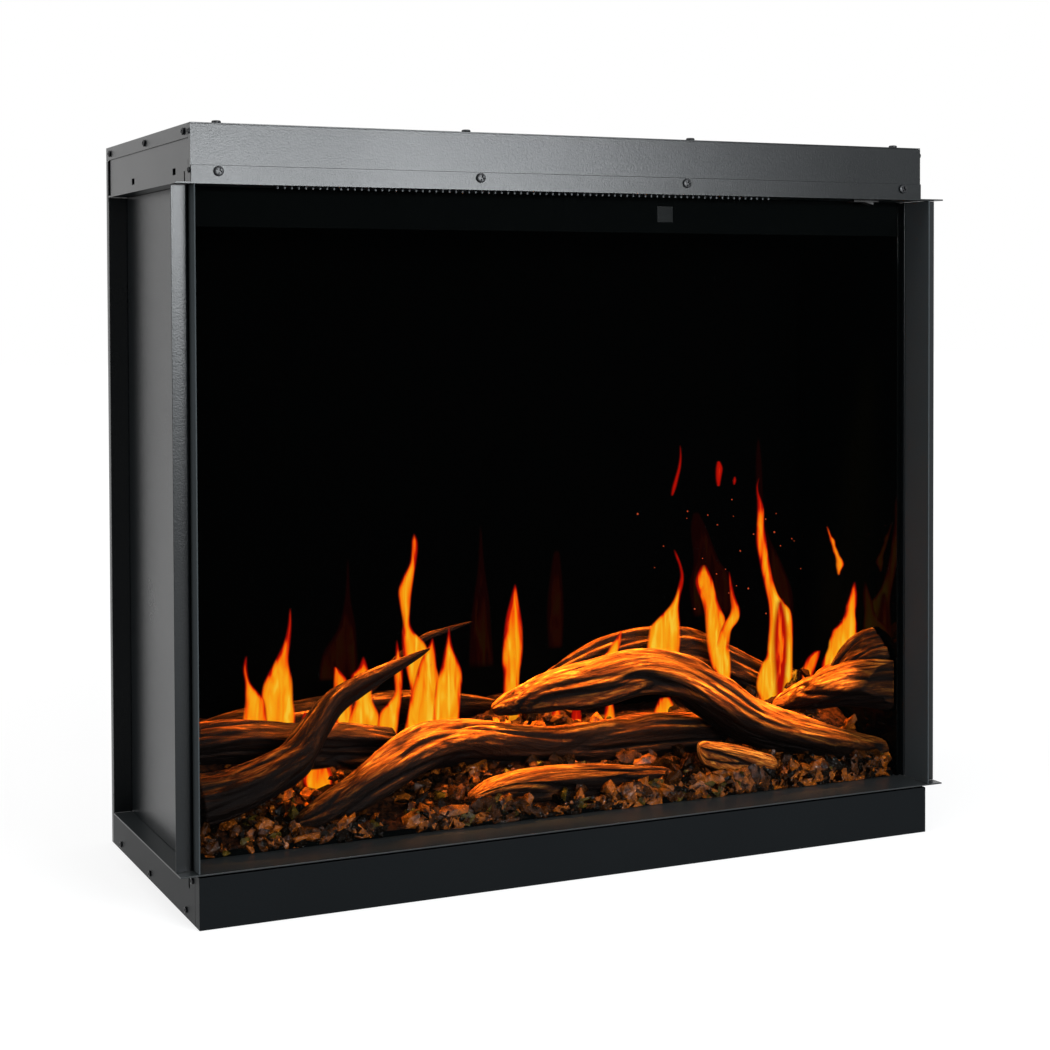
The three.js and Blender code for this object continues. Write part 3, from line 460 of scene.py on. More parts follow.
# Moulded ABS: black, finely eroded skin
black_abs = patterned(
    "moulded_black_abs",
    {"Scale": 1400.0, "Detail": 2.0},
    {"Roughness": 0.42, "IOR": 1.53},
    tones=("#0C0C0D", "#161617"),
    relief=(0.2, 0.0002),
)

# Glass-epoxy board: green solder mask over faint copper tracks every 2 mm
solder_mask = patterned(
    "green_circuit_board",
    {
        "Scale": 120.0, "Mortar Size": 0.08,
        "Color1": srgb("#123F2A"), "Color2": srgb("#17492F"), "Mortar": srgb("#2F6B4A"),
    },
    {"Roughness": 0.35},
    kind="TexBrick",
)

for part in ("blower_wheel_left", "blower_wheel_right", "blower_scroll", "blower_motor", "heater_element"):
    finish_node(part, galvanised)
finish_node("thermal_cutout", black_abs)


# ------------ controls
# The rocker switch hangs through the upper ledge beside the outlet. The control tray, board and
# terminals stand in the housing, and the cable gland closes the cable entry in the back.
for part in ("switch_housing", "power_switch"):
    folded_sheet(part, black_abs, 0.4, "switch_rocker" if part == "power_switch" else "casing")
finish_node("control_box", galvanised)
finish_node("control_board", solder_mask)
finish_node("terminal_block", black_abs)
folded_sheet("cable_gland", black_abs, 0.3)


# ------------ glazing
# A tempered pane in front, a pane inside each side cover, and a black header band behind the top
# edge of the front pane.

# Tempered clear float: nearly nothing to see from the front, so it only adds a breath of gloss
front_float = patterned(
    "clear_tempered_glass",
    {"Scale": 3.0, "Detail": 1.0},
    {"Base Color": srgb("#0B0D0D"), "Alpha": 0.04, "IOR": 1.52, "Specular IOR Level": 0.0},
    rough=(0.01, 0.03),
)
folded_sheet("front_glass", front_float, 0.5)

# Tempered glass backed by the dark side covers: black with a weak, slightly hazy mirror image
side_float = patterned(
    "backed_side_glass",
    {"Scale": 8.0, "Detail": 2.0},
    {"Base Color": srgb("#020303"), "IOR": 1.52, "Specular IOR Level": 0.05},
    rough=(0.02, 0.06),
)
for side in ("left", "right"):
    folded_sheet(f"side_glass_{side}", side_float, 0.5)

# Heat-resistant matt black paint on the parts inside the firebox
stove_black = patterned(
    "matt_stove_black",
    {"Scale": 60.0, "Detail": 4.0},
    {"Roughness": 0.75, "Specular IOR Level": 0.01},
    tones=("#010202", "#030404"),
)
folded_sheet("header_band", stove_black, 0.2)


# ------------ flame screen
# A smoked acrylic sheet closes the firebox behind the logs. It shows no reflection; the dim red ghosts of the
# flames in it are painted reflections, glowing sheets further down. The small infrared window in the header band is
# acrylic too.
smoked_acrylic = patterned(
    "smoked_acrylic",
    {"Scale": 5.0, "Detail": 2.0},
    {"Base Color": srgb("#010101"), "IOR": 1.49, "Specular IOR Level": 0.0},
    rough=(0.03, 0.07),
)
folded_sheet("flame_screen", smoked_acrylic, 0.4)

# Infrared acrylic: a dark grey window that only the remote control's light passes
infrared_acrylic = patterned(
    "infrared_acrylic",
    {"Scale": 200.0},
    {"Roughness": 0.3, "Specular IOR Level": 0.03},
    tones=("#0D0F0F", "#121414"),
)
folded_sheet("ir_window", infrared_acrylic, 0.3)


# ------------ flame drive
# Behind the screen a rod of polished blades turns over a strip of lamps and breaks their light
# into moving flames. Two folded brackets carry it and a small geared motor turns it.

# Polished aluminium strip with faint draw lines along it
blade_foil = patterned(
    "polished_aluminium_strip",
    {"Scale": 1.0, "Detail": 2.0},
    {"Base Color": srgb("#DDDEDF"), "Metallic": 1.0},
    rough=(0.08, 0.2),
    stretch=(20, 900, 900),
)
finish_node("flame_rotor", blade_foil)
for part in ("rotor_bracket_left", "rotor_bracket_right", "rotor_motor"):
    finish_node(part, galvanised)
for part in ("flame_led_board", "ember_led_board"):
    finish_node(part, solder_mask)
finish_node("ember_tray", stove_black)


# ------------ ember bed
# A vacuum-formed bed, painted as ash and char, heaps up towards the back and in a few mounds. The
# crushed glass that lies on it is a piece of its own, further down.
tray_low, tray_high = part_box("ember_tray")
bed_low, bed_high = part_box("ember_bed")
bed_width = tray_high.x - tray_low.x
bed_depth = tray_high.y - tray_low.y
bed_front = tray_low.y
log_radius = 0.030
pile_height = 0.160
hearth_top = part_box("hearth_plate")[1].z
bed_mounds = ((-0.45, 0.5), (-0.3, 0.2), (0.01, 0.45), (0.45, 0.5))


def bed_height(x, y):
    """The top of the formed bed over a place, in metres."""
    across = x / (bed_high.x - bed_low.x)
    inward = min(max((y - bed_low.y) / (bed_high.y - bed_low.y), 0), 1)
    rise = 0.062
    top = 0.006 + rise * inward * inward * (3 - 2 * inward)
    for centre, share in bed_mounds:
        away = (across - centre) / 0.09
        top += rise * share * math.sin(math.pi / 2 * inward) * math.exp(-away * away)
    return bed_low.z + top


# Vacuum-formed bed: char black with ash-brown high spots, dull all over
char_mould = new_material("painted_char_mould")
place = add_node(char_mould, "TexCoord").outputs["Object"]
grit = add_node(char_mould, "TexNoise", {"Scale": 180.0, "Detail": 5.0, "Roughness": 0.7}, {"Vector": place})
char_ramp = add_node(char_mould, "ValToRGB", {}, {"Fac": grit})
for stop, position, color in zip(char_ramp.color_ramp.elements, (0.42, 0.74), ("#060302", "#3A1C0A")):
    stop.position, stop.color = position, srgb(color)
char_bump = add_node(char_mould, "Bump", {"Strength": 0.8, "Distance": 0.002}, {"Height": grit})
dull = {"Roughness": 0.7, "Specular IOR Level": 0.04}
char_face = add_node(char_mould, "BsdfPrincipled", dull, {"Base Color": char_ramp, "Normal": char_bump})
add_node(char_mould, "OutputMaterial", {}, {"Surface": char_face})


def fine_grid(name, columns, rows):
    """A flat square of small faces, 1 m wide, that is then drawn out to a shape."""
    bpy.ops.object.select_all(action="DESELECT")
    bpy.ops.mesh.primitive_grid_add(x_subdivisions=columns, y_subdivisions=rows, size=1)
    grid = bpy.context.object
    grid.name = name
    return grid


bed = fine_grid("ember_bed_mould", 300, 80)
bed_size = bed_high - bed_low
for vertex in bed.data.vertices:
    x = bed_low.x + (vertex.co.x + 0.5) * bed_size.x
    y = bed_low.y + (vertex.co.y + 0.5) * bed_size.y
    lump = 0.0035 * noise.noise(Vector((x * 60, y * 60, 3))) + 0.002 * noise.noise(Vector((x * 160, y * 160, 9)))
    vertex.co = (x, y, min(bed_height(x, y) + lump - 0.001, bed_high.z + 0.004))
thicken = {"TRANSFORM_OT_translate": {"value": (0, 0, -0.003)}}
in_edit_mode((bpy.ops.mesh.extrude_region_move, thicken), turn_outward)
bpy.ops.object.shade_smooth()
bed.data.materials.append(char_mould)
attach(bed, "casing")
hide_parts("ember_bed")


# ------------ logs
# Nine hollow resin castings of driftwood, with a twig and a stub that stand out from them, painted
# by hand in ash-brown, char, honey and orange; painted shade darkens them below and a painted highlight lightens
# them above. Long checks run with the grain.
# For each log: how flat its split top is, how much honey glaze and painted light it has and how much of that falls
# off
# along it, then its stations: along the bed, into the bed, up the pile, thickness.
logs = {
    "back_log": ((0.0, -0.75), [
        (-0.495, 0.7, 0.54, 0.7), (-0.42, 0.7, 0.55, 0.8), (-0.34, 0.7, 0.51, 0.82), (-0.27, 0.7, 0.47, 0.78),
        (-0.19, 0.7, 0.41, 0.66),
    ]),
    "fork_log": ((0.0, -0.6), [
        (-0.495, 0.22, 0.3, 0.94), (-0.45, 0.22, 0.33, 0.9), (-0.4, 0.22, 0.42, 0.82), (-0.36, 0.23, 0.53, 0.7),
        (-0.33, 0.29, 0.7, 0.54), (-0.3, 0.35, 0.85, 0.46), (-0.26, 0.41, 0.94, 0.38), (-0.21, 0.49, 1.02, 0.27),
        (-0.15, 0.59, 1.11, 0.06),
    ]),
    "long_log": ((0.0, -0.25), [
        (-0.37, 0.12, 0.12, 0.22), (-0.34, 0.14, 0.17, 0.52), (-0.29, 0.2, 0.27, 0.68), (-0.23, 0.29, 0.39, 0.82),
        (-0.18, 0.37, 0.46, 0.88), (-0.12, 0.47, 0.46, 0.86), (-0.06, 0.53, 0.4, 0.84), (0.01, 0.54, 0.34, 0.86),
        (0.07, 0.54, 0.33, 0.9), (0.16, 0.55, 0.34, 0.92), (0.25, 0.57, 0.32, 0.82), (0.32, 0.58, 0.29, 0.5),
    ]),
    "arch_log": ((0.0, 0.5), [
        (-0.07, 0.49, 0.66, 0.2), (-0.04, 0.49, 0.7, 0.5), (0.0, 0.47, 0.75, 0.76), (0.07, 0.43, 0.8, 0.94),
        (0.14, 0.41, 0.86, 0.94), (0.2, 0.36, 0.8, 0.95), (0.25, 0.32, 0.64, 0.98), (0.3, 0.28, 0.46, 0.94),
        (0.36, 0.23, 0.34, 0.84), (0.42, 0.2, 0.25, 0.78), (0.475, 0.18, 0.18, 0.66), (0.52, 0.15, 0.14, 0.56),
    ]),
    "right_log": ((0.0, 0.3), [
        (0.375, 0.56, 0.46, 0.2), (0.4, 0.5, 0.52, 0.48), (0.43, 0.37, 0.6, 0.82), (0.462, 0.24, 0.67, 1.02),
        (0.495, 0.12, 0.69, 1.12), (0.53, 0.04, 0.67, 1.14),
    ]),
    "right_stub": ((0.0, -0.2), [
        (0.45, 0.36, 0.66, 0.3), (0.476, 0.28, 0.8, 0.66), (0.505, 0.21, 0.87, 0.86), (0.55, 0.14, 0.86, 0.86),
    ]),
    "split_log": ((0.6, 0.8, 1.5), [
        (-0.13, 0.18, 0.14, 0.38), (-0.085, 0.18, 0.22, 0.66), (0.0, 0.19, 0.23, 0.8), (0.09, 0.2, 0.2, 0.66),
        (0.17, 0.22, 0.16, 0.32),
    ]),
    "wood_chip": ((0.55, 1.5), [
        (0.208, 0.17, 0.33, 0.5), (0.262, 0.14, 0.26, 0.7), (0.32, 0.09, 0.17, 0.5),
    ]),
    "rear_left_log": ((0.0, -0.7), [
        (-0.495, 1.03, 0.44, 0.56), (-0.38, 1.03, 0.56, 0.64), (-0.3, 1.03, 0.6, 0.64), (-0.2, 1.03, 0.63, 0.66),
        (-0.1, 1.03, 0.61, 0.56), (-0.01, 1.03, 0.54, 0.34),
    ]),
    "rear_log": ((0.0, -0.35), [
        (0.03, 1.03, 0.58, 0.5), (0.11, 1.03, 0.74, 0.78), (0.19, 1.03, 0.86, 0.84), (0.28, 1.03, 0.84, 0.88),
        (0.35, 1.03, 0.69, 0.9), (0.42, 1.03, 0.52, 0.84), (0.49, 1.03, 0.44, 0.76),
    ]),
    "rear_twig": ((0.0, -0.45), [
        (-0.235, 1.02, 0.62, 0.2), (-0.18, 1.05, 0.86, 0.17), (-0.125, 1.05, 1.08, 0.14), (-0.08, 1.05, 1.15, 0.1),
        (-0.048, 1.05, 1.19, 0.03),
    ]),
}


def station_points(stations):
    """The places in metres and the radii that a log's stations stand for."""
    reach = bed_depth - log_radius
    return [
        (Vector((x * bed_width, bed_front + y * reach, hearth_top + z * pile_height)), thick * log_radius)
        for x, y, z, thick in stations
    ]


def along_spline(points, share):
    """The place and radius at a share of the way along a smooth line through the points."""
    last = len(points) - 1
    spot = min(share, 0.99999) * last
    i = int(spot)
    t = spot - i
    near = [points[max(0, min(last, i + k))] for k in (-1, 0, 1, 2)]
    weights = (
        -0.5 * t**3 + t**2 - 0.5 * t,
        1.5 * t**3 - 2.5 * t**2 + 1,
        -1.5 * t**3 + 2 * t**2 + 0.5 * t,
        0.5 * t**3 - 0.5 * t**2,
    )
    centre = sum((w * p[0] for w, p in zip(weights, near)), Vector())
    return centre, sum(w * p[1] for w, p in zip(weights, near))


# Painted resin driftwood: fibres about 2 mm apart follow the log, ash-brown on the flanks and a honey glaze along
# its streaks;
# painted shade darkens the checks and the underside, and a painted highlight puts the honey tones on the upward
# faces
driftwood = new_material("painted_resin_driftwood")
grain, relief, glaze_and_light = (
    add_node(driftwood, "Attribute", {"attribute_name": name}).outputs[socket]
    for name, socket in (("grain", "Vector"), ("relief", "Fac"), ("glaze_and_light", "Fac"))
)
fibre_space = add_node(driftwood, "Mapping", {"Scale": (30, 300, 300)}, {"Vector": grain})
fibre_form = {"Scale": 1.0, "Detail": 6.0, "Roughness": 0.7, "Distortion": 0.9}
fibre = add_node(driftwood, "TexNoise", fibre_form, {"Vector": fibre_space})
streak_space = add_node(driftwood, "Mapping", {"Scale": (14, 52, 52)}, {"Vector": grain})
streak_form = {"Scale": 1.0, "Detail": 5.0, "Roughness": 0.62, "Distortion": 1.1}
streak = add_node(driftwood, "TexNoise", streak_form, {"Vector": streak_space})
ash_ramp = add_node(driftwood, "ValToRGB", {}, {"Fac": fibre})
honey_and_highlight_ramp = add_node(driftwood, "ValToRGB", {}, {"Fac": fibre})
for ramp, low, middle, high in (
    (ash_ramp, (0.38, "#060302"), (0.54, "#180C06"), (0.72, "#3B210F")),
    (honey_and_highlight_ramp, (0.36, "#1E0A03"), (0.52, "#743A10"), (0.72, "#D98F38")),
):
    for stop, (position, color) in zip(ramp.color_ramp.elements, (low, high)):
        stop.position, stop.color = position, srgb(color)
    ramp.color_ramp.elements.new(middle[0]).color = srgb(middle[1])
# painted highlight and painted shade: faces turned up are pushed towards the honey tones, faces turned down towards
# the dark
normal = add_node(driftwood, "NewGeometry").outputs["Normal"]
facing_up = add_node(driftwood, "SeparateXYZ", {}, {"Vector": normal}).outputs["Z"]
streaks_plus_top_light = add_node(driftwood, "Math", {"operation": "MULTIPLY_ADD", 1: 2.0}, {0: streak, 2: facing_up})
glaze_and_top_light_sum = add_node(driftwood, "Math", {"operation": "ADD"}, {0: streaks_plus_top_light, 1: glaze_and_light})
glaze_and_top_light_mix = add_node(driftwood, "MapRange", {"From Min": 1.1, "From Max": 2.1}, {"Value": glaze_and_top_light_sum})
wood_color = add_node(
    driftwood, "Mix", {"data_type": "RGBA"}, {"Factor": glaze_and_top_light_mix, "A": ash_ramp, "B": honey_and_highlight_ramp}
).outputs["Result"]
# painted shade: faces turned down and the low relief of the checks fade to near black
upward_and_relief = add_node(driftwood, "Math", {"operation": "MULTIPLY_ADD", 1: 0.9}, {0: facing_up, 2: relief})
out_of_painted_shade = add_node(driftwood, "MapRange", {"From Min": -0.8, "From Max": 0.8}, {"Value": upward_and_relief})
shaded_color = add_node(
    driftwood, "Mix", {"data_type": "RGBA", "A": srgb("#080403")}, {"Factor": out_of_painted_shade, "B": wood_color}
).outputs["Result"]
fibre_bump = add_node(driftwood, "Bump", {"Strength": 0.8, "Distance": 0.0014}, {"Height": fibre})
streak_depth = {"Strength": 0.8, "Distance": 0.005}
streak_bump = add_node(driftwood, "Bump", streak_depth, {"Height": streak, "Normal": fibre_bump})
# painted glow: the castings with the most glaze and painted light give off light of their own colour
glow_span = {"From Min": 0.6, "From Max": 1.5, "To Max": 1.5}
painted_glow = add_node(driftwood, "MapRange", glow_span, {"Value": glaze_and_light})
wood_face = add_node(
    driftwood,
    "BsdfPrincipled",
    {"Roughness": 0.6, "Specular IOR Level": 0.04},
    {
        "Base Color": shaded_color,
        "Emission Color": shaded_color,
        "Emission Strength": painted_glow,
        "Normal": streak_bump,
    },
)
add_node(driftwood, "OutputMaterial", {}, {"Surface": wood_face})


# a log of this radius is carved to the full depth, and none comes nearer than this to the side panes
full_carving, side_gap = 0.026, 0.010


def driftwood_log(name, rings, around, flatten, glaze_and_light, fade_along=0.0):
    """A grid is rolled round the log's line, carved with checks and ridges, and closed at its ends."""
    points = station_points(logs[name][1])
    length = sum((b[0] - a[0]).length for a, b in zip(points, points[1:]))
    seed = sum(map(ord, name)) * 0.37
    log = fine_grid(name + "_casting", rings, around)
    grain, relief, glaze_and_light_values, frames = [], [], [], {}
    for vertex in log.data.vertices:
        along, turn = vertex.co.x + 0.5, (vertex.co.y + 0.5) * 2 * math.pi
        key = round(along, 5)
        if key not in frames:
            centre, radius = along_spline(points, along)
            ahead = along_spline(points, min(along + 0.005, 1))[0] - along_spline(points, max(along - 0.005, 0))[0]
            ahead.normalize()
            across = Vector((0, 0, 1)).cross(ahead).normalized()
            frames[key] = (centre, radius, across, ahead.cross(across).normalized())
        centre, radius, across, upward = frames[key]
        # the bark unrolled, in metres: along the log, and round it
        run = along * length
        unrolled = Vector((run, math.cos(turn) * max(radius, 0.008), math.sin(turn) * max(radius, 0.008)))
        # broad flutes wind round the log
        twist = turn + run * 2.2 + seed
        flute = 0.11 * math.cos(2 * twist) + 0.09 * math.cos(3 * twist + run * 5)
        flute += 0.04 * math.cos(5 * twist - run * 9)
        # over them lie swellings, frayed fibres, long checks and the ridges between the checks
        swell = noise.noise(Vector((unrolled.x * 9 + seed, unrolled.y * 30, unrolled.z * 30)))
        p = Vector((unrolled.x * 11 + seed, unrolled.y * 95, unrolled.z * 95))
        fray = noise.noise(p) + 0.5 * noise.noise(p * 2.1) + 0.3 * noise.noise(p * 4.3)
        crack = noise.noise(Vector((unrolled.x * 5 + seed, unrolled.y * 48, unrolled.z * 48 + 2 * seed)))
        check = math.exp(-((crack / 0.09) ** 2))
        ridge = 1 - 2 * abs(noise.noise(Vector((unrolled.x * 6 - seed, unrolled.y * 70, unrolled.z * 70))))
        # thin twigs are carved less deeply
        depth = min(radius, full_carving) / full_carving
        carve = depth * (0.004 * swell + 0.0018 * fray + 0.0020 * (ridge - 0.6) - 0.0038 * check) + radius * flute
        # the ends are rounded off over their last 12 mm
        end = min(along, 1 - along) * length
        stump = 0.0 if end < 1e-6 else min(1, (end / 0.012)) ** 0.4
        reach = max((radius + carve) * stump, 0)
        spot = centre + across * (reach * math.cos(turn)) + upward * (reach * math.sin(turn))
        if flatten and math.sin(turn) > 0:
            spot -= upward * (reach * math.sin(turn) * flatten)
        spot.x = max(min(spot.x, half_width - side_gap), -half_width + side_gap)
        spot.y = max(spot.y, bed_front + 0.001)
        spot.z = max(spot.z, hearth_top + 0.004)
        vertex.co = spot
        grain += [run + seed % 7, unrolled.y, unrolled.z]
        relief.append(fray * 0.45 + (ridge - 0.6) * 0.6 - 0.9 * check + 0.9 * flute)
        glaze_and_light_values.append(glaze_and_light - fade_along * along)
    log.data.attributes.new("grain", "FLOAT_VECTOR", "POINT").data.foreach_set("vector", grain)
    log.data.attributes.new("relief", "FLOAT", "POINT").data.foreach_set("value", relief)
    log.data.attributes.new("glaze_and_light", "FLOAT", "POINT").data.foreach_set("value", glaze_and_light_values)
    in_edit_mode((merge, {"threshold": 0.00002}), turn_outward)
    bpy.ops.object.shade_smooth()
    log.data.materials.append(driftwood)
    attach(log, "casing")
    if name in frame["nodes"]:
        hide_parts(name)


for name, (paint, stations) in logs.items():
    driftwood_log(name, min(280, 40 + 22 * len(stations)), 96, *paint)


# ------------ crystals
# Crushed glass of 8 to 24 mm lies loose on the bed, amber, brown, olive and black. Each rough chip is
# knocked out of a ball of its own, and one in five lies against the front pane.
def chip_glass(name, dark, light, glow, gloss):
    """Crushed glass: glossy facets, a deep colour that changes from chip to chip, a faint painted glow and a few
    bright painted glints.
    """
    material = new_material(name)
    place = add_node(material, "TexCoord").outputs["Object"]
    chip = add_node(material, "TexNoise", {"Scale": 110.0, "Detail": 4.0}, {"Vector": place})
    spread = add_node(material, "MapRange", {"From Min": 0.35, "From Max": 0.65}, {"Value": chip})
    tones = {"data_type": "RGBA", "A": srgb(dark), "B": srgb(light)}
    body = add_node(material, "Mix", tones, {"Factor": spread}).outputs["Result"]
    # painted glints and painted glow: emission, faint all over and bright at the peaks of a fine pattern
    glint = add_node(material, "TexNoise", {"Scale": 480.0, "Detail": 2.0}, {"Vector": place})
    brightest = {"From Min": 0.62, "From Max": 0.72, "To Min": 0.03 * glow, "To Max": 3.0 * glow}
    lit = add_node(material, "MapRange", brightest, {"Value": glint})
    chipped = add_node(material, "Bump", {"Strength": 0.5, "Distance": 0.002}, {"Height": glint})
    face = add_node(
        material,
        "BsdfPrincipled",
        {"Roughness": 0.14, "IOR": 1.52, "Specular IOR Level": gloss},
        {"Base Color": body, "Emission Color": body, "Emission Strength": lit, "Normal": chipped},
    )
    add_node(material, "OutputMaterial", {}, {"Surface": face})
    return material


chip_kinds = (
    (chip_glass("amber_glass_chips", "#1C0A02", "#7C400E", 1.0, 0.14), 0.3, "amber"),
    (chip_glass("brown_glass_chips", "#090401", "#351A06", 1.0, 0.08), 0.36, "brown"),
    (chip_glass("olive_glass_chips", "#120E03", "#42340C", 0.7, 0.12), 0.06, "olive"),
    (chip_glass("black_glass_chips", "#030201", "#0E0703", 0.0, 0.04), 0.28, "black"),
)
all_chips = 2200
dice = random.Random(35)
pane_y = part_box("front_glass")[1].y + 0.0012
# places along the core of every log, to keep the chips out of it
log_cores = [along_spline(station_points(stations), k / 24) for _, stations in logs.values() for k in range(25)]


def inside_log(x, y, z):
    """Whether a chip at that place would be swallowed by a log."""
    return any((Vector((x, y, z)) - centre).length < radius * 0.85 + 0.004 for centre, radius in log_cores)


def chip_heap(name, material, count):
    """Rough chips of one colour are strewn over the bed, thickest in front and largest at the right."""
    ball = small_ball(1)
    corners = []
    while len(corners) < count * len(ball[0]):
        x = dice.uniform(bed_low.x + 0.006, bed_high.x - 0.006)
        y = bed_low.y + 0.003 + 0.75 * bed_size.y * dice.random() ** 2.6
        size = (0.0036 + 0.0090 * dice.random() ** 1.8) * (1.2 + 0.55 * x / bed_width)
        # bare patches of the bed
        if noise.noise(Vector((x * 17, y * 17, 5))) < -0.22:
            continue
        z = bed_height(x, y) + size * dice.uniform(0.0, 0.9)
        # one chip in five lies against the pane
        if dice.random() < 0.2:
            y, z = bed_low.y + dice.uniform(-0.001, 0.004), bed_low.z + dice.uniform(-0.001, 0.009)
        if inside_log(x, y, z):
            continue
        angle = dice.uniform(0, 6.28)
        turn = Matrix.Rotation(angle, 3, Vector([dice.gauss(0, 1) for _ in range(3)]).normalized())
        stretch = Vector((dice.uniform(0.7, 1.5), dice.uniform(0.5, 1.1), dice.uniform(0.3, 0.75)))
        for corner in ball[0]:
            knocked = Vector([c * s * dice.uniform(0.6, 1.2) for c, s in zip(corner, stretch)])
            spot = Vector((x, y, z)) + turn @ knocked * size
            spot.y, spot.z = max(spot.y, pane_y - 0.0006), max(spot.z, hearth_top + 0.0005)
            corners.append(spot)
    heap = many_copies(name, corners, ball, material)
    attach(heap, "casing")


for material, share, color_name in chip_kinds:
    chip_heap(f"{color_name}_glass_heap", material, int(all_chips * share))


# ------------ flames
# Light thrown up between the logs by the flame drive: yellow tongues with orange flanks and red
# tips. Each stands as a thin upright sheet, where a viewer in front sees the picture hang.

# Projected light: solid yellow where a tongue is wide, orange then red within 5 mm of its edge, and
# streaks about 12 mm apart that run up the tongue
flame = new_material("projected_flame_light")
place = add_node(flame, "UVMap", {"uv_map": "UVMap"}).outputs["UV"]
axes = add_node(flame, "SeparateXYZ", {}, {"Vector": place}).outputs
tint = add_node(flame, "Attribute", {"attribute_name": "tongue"}).outputs["Vector"]
# the half width in mm, how red it is and how solid
half_mm, redness, solid = add_node(flame, "SeparateXYZ", {}, {"Vector": tint}).outputs
flame_space = add_node(flame, "TexCoord").outputs["Object"]
flicker_space = add_node(flame, "Mapping", {"Scale": (110, 110, 20)}, {"Vector": flame_space})
flicker_form = {"Scale": 1.0, "Detail": 1.5, "Distortion": 0.8}
flicker = add_node(flame, "TexNoise", flicker_form, {"Vector": flicker_space})
# the distance in from the tongue's edge
centred = add_node(flame, "Math", {"operation": "MULTIPLY_ADD", 1: 2.0, 2: -1.0}, {0: axes["X"]})
flank = add_node(flame, "Math", {"operation": "ABSOLUTE"}, {0: centred})
inward = add_node(flame, "Math", {"operation": "SUBTRACT", 0: 1.0}, {1: flank})
depth_mm = add_node(flame, "Math", {"operation": "MULTIPLY"}, {0: inward, 1: half_mm})
# the heat: more towards the core, streaked, and less towards the tip
rise = add_node(flame, "Math", {"operation": "POWER", 1: 2.0}, {0: axes["Y"]})
cooling = add_node(flame, "Math", {"operation": "MULTIPLY_ADD", 1: 0.34}, {0: rise, 2: redness})
streaks = add_node(flame, "Math", {"operation": "MULTIPLY_ADD", 1: 1.5, 2: -0.75}, {0: flicker})
core = add_node(flame, "MapRange", {"From Max": 7.0, "To Max": 0.78}, {"Value": depth_mm})
warm = add_node(flame, "Math", {"operation": "ADD"}, {0: core, 1: streaks})
heat = add_node(flame, "Math", {"operation": "SUBTRACT"}, {0: warm, 1: cooling})
flame_ramp = add_node(flame, "ValToRGB", {}, {"Fac": heat})
heats = flame_ramp.color_ramp.elements
heats[0].color, heats[1].color = srgb("#B40E03"), srgb("#FFC834")
for share, color in ((0.1, "#D42406"), (0.24, "#FF5006"), (0.42, "#FF7A0A"), (0.62, "#FF960E"), (0.82, "#FFAC18")):
    heats.new(share).color = srgb(color)
# it fades out at its edge, tip and foot
edge_span = {"interpolation_type": "SMOOTHSTEP", "From Min": 0.1, "From Max": 3.8}
fade = add_node(flame, "MapRange", edge_span, {"Value": depth_mm})
tip_fade = add_node(flame, "MapRange", {"From Min": 1.0, "From Max": 0.93}, {"Value": axes["Y"]})
foot_fade = add_node(flame, "MapRange", {"From Min": 0.0, "From Max": 0.06}, {"Value": axes["Y"]})
for share in (tip_fade, foot_fade, solid):
    fade = add_node(flame, "Math", {"operation": "MULTIPLY"}, {0: fade, 1: share})
flame_face = add_node(
    flame,
    "BsdfPrincipled",
    {"Base Color": (0, 0, 0, 1), "Roughness": 1.0, "Specular IOR Level": 0.0, "Emission Strength": 1.0},
    {"Emission Color": flame_ramp, "Alpha": fade},
)
add_node(flame, "OutputMaterial", {}, {"Surface": flame_face})

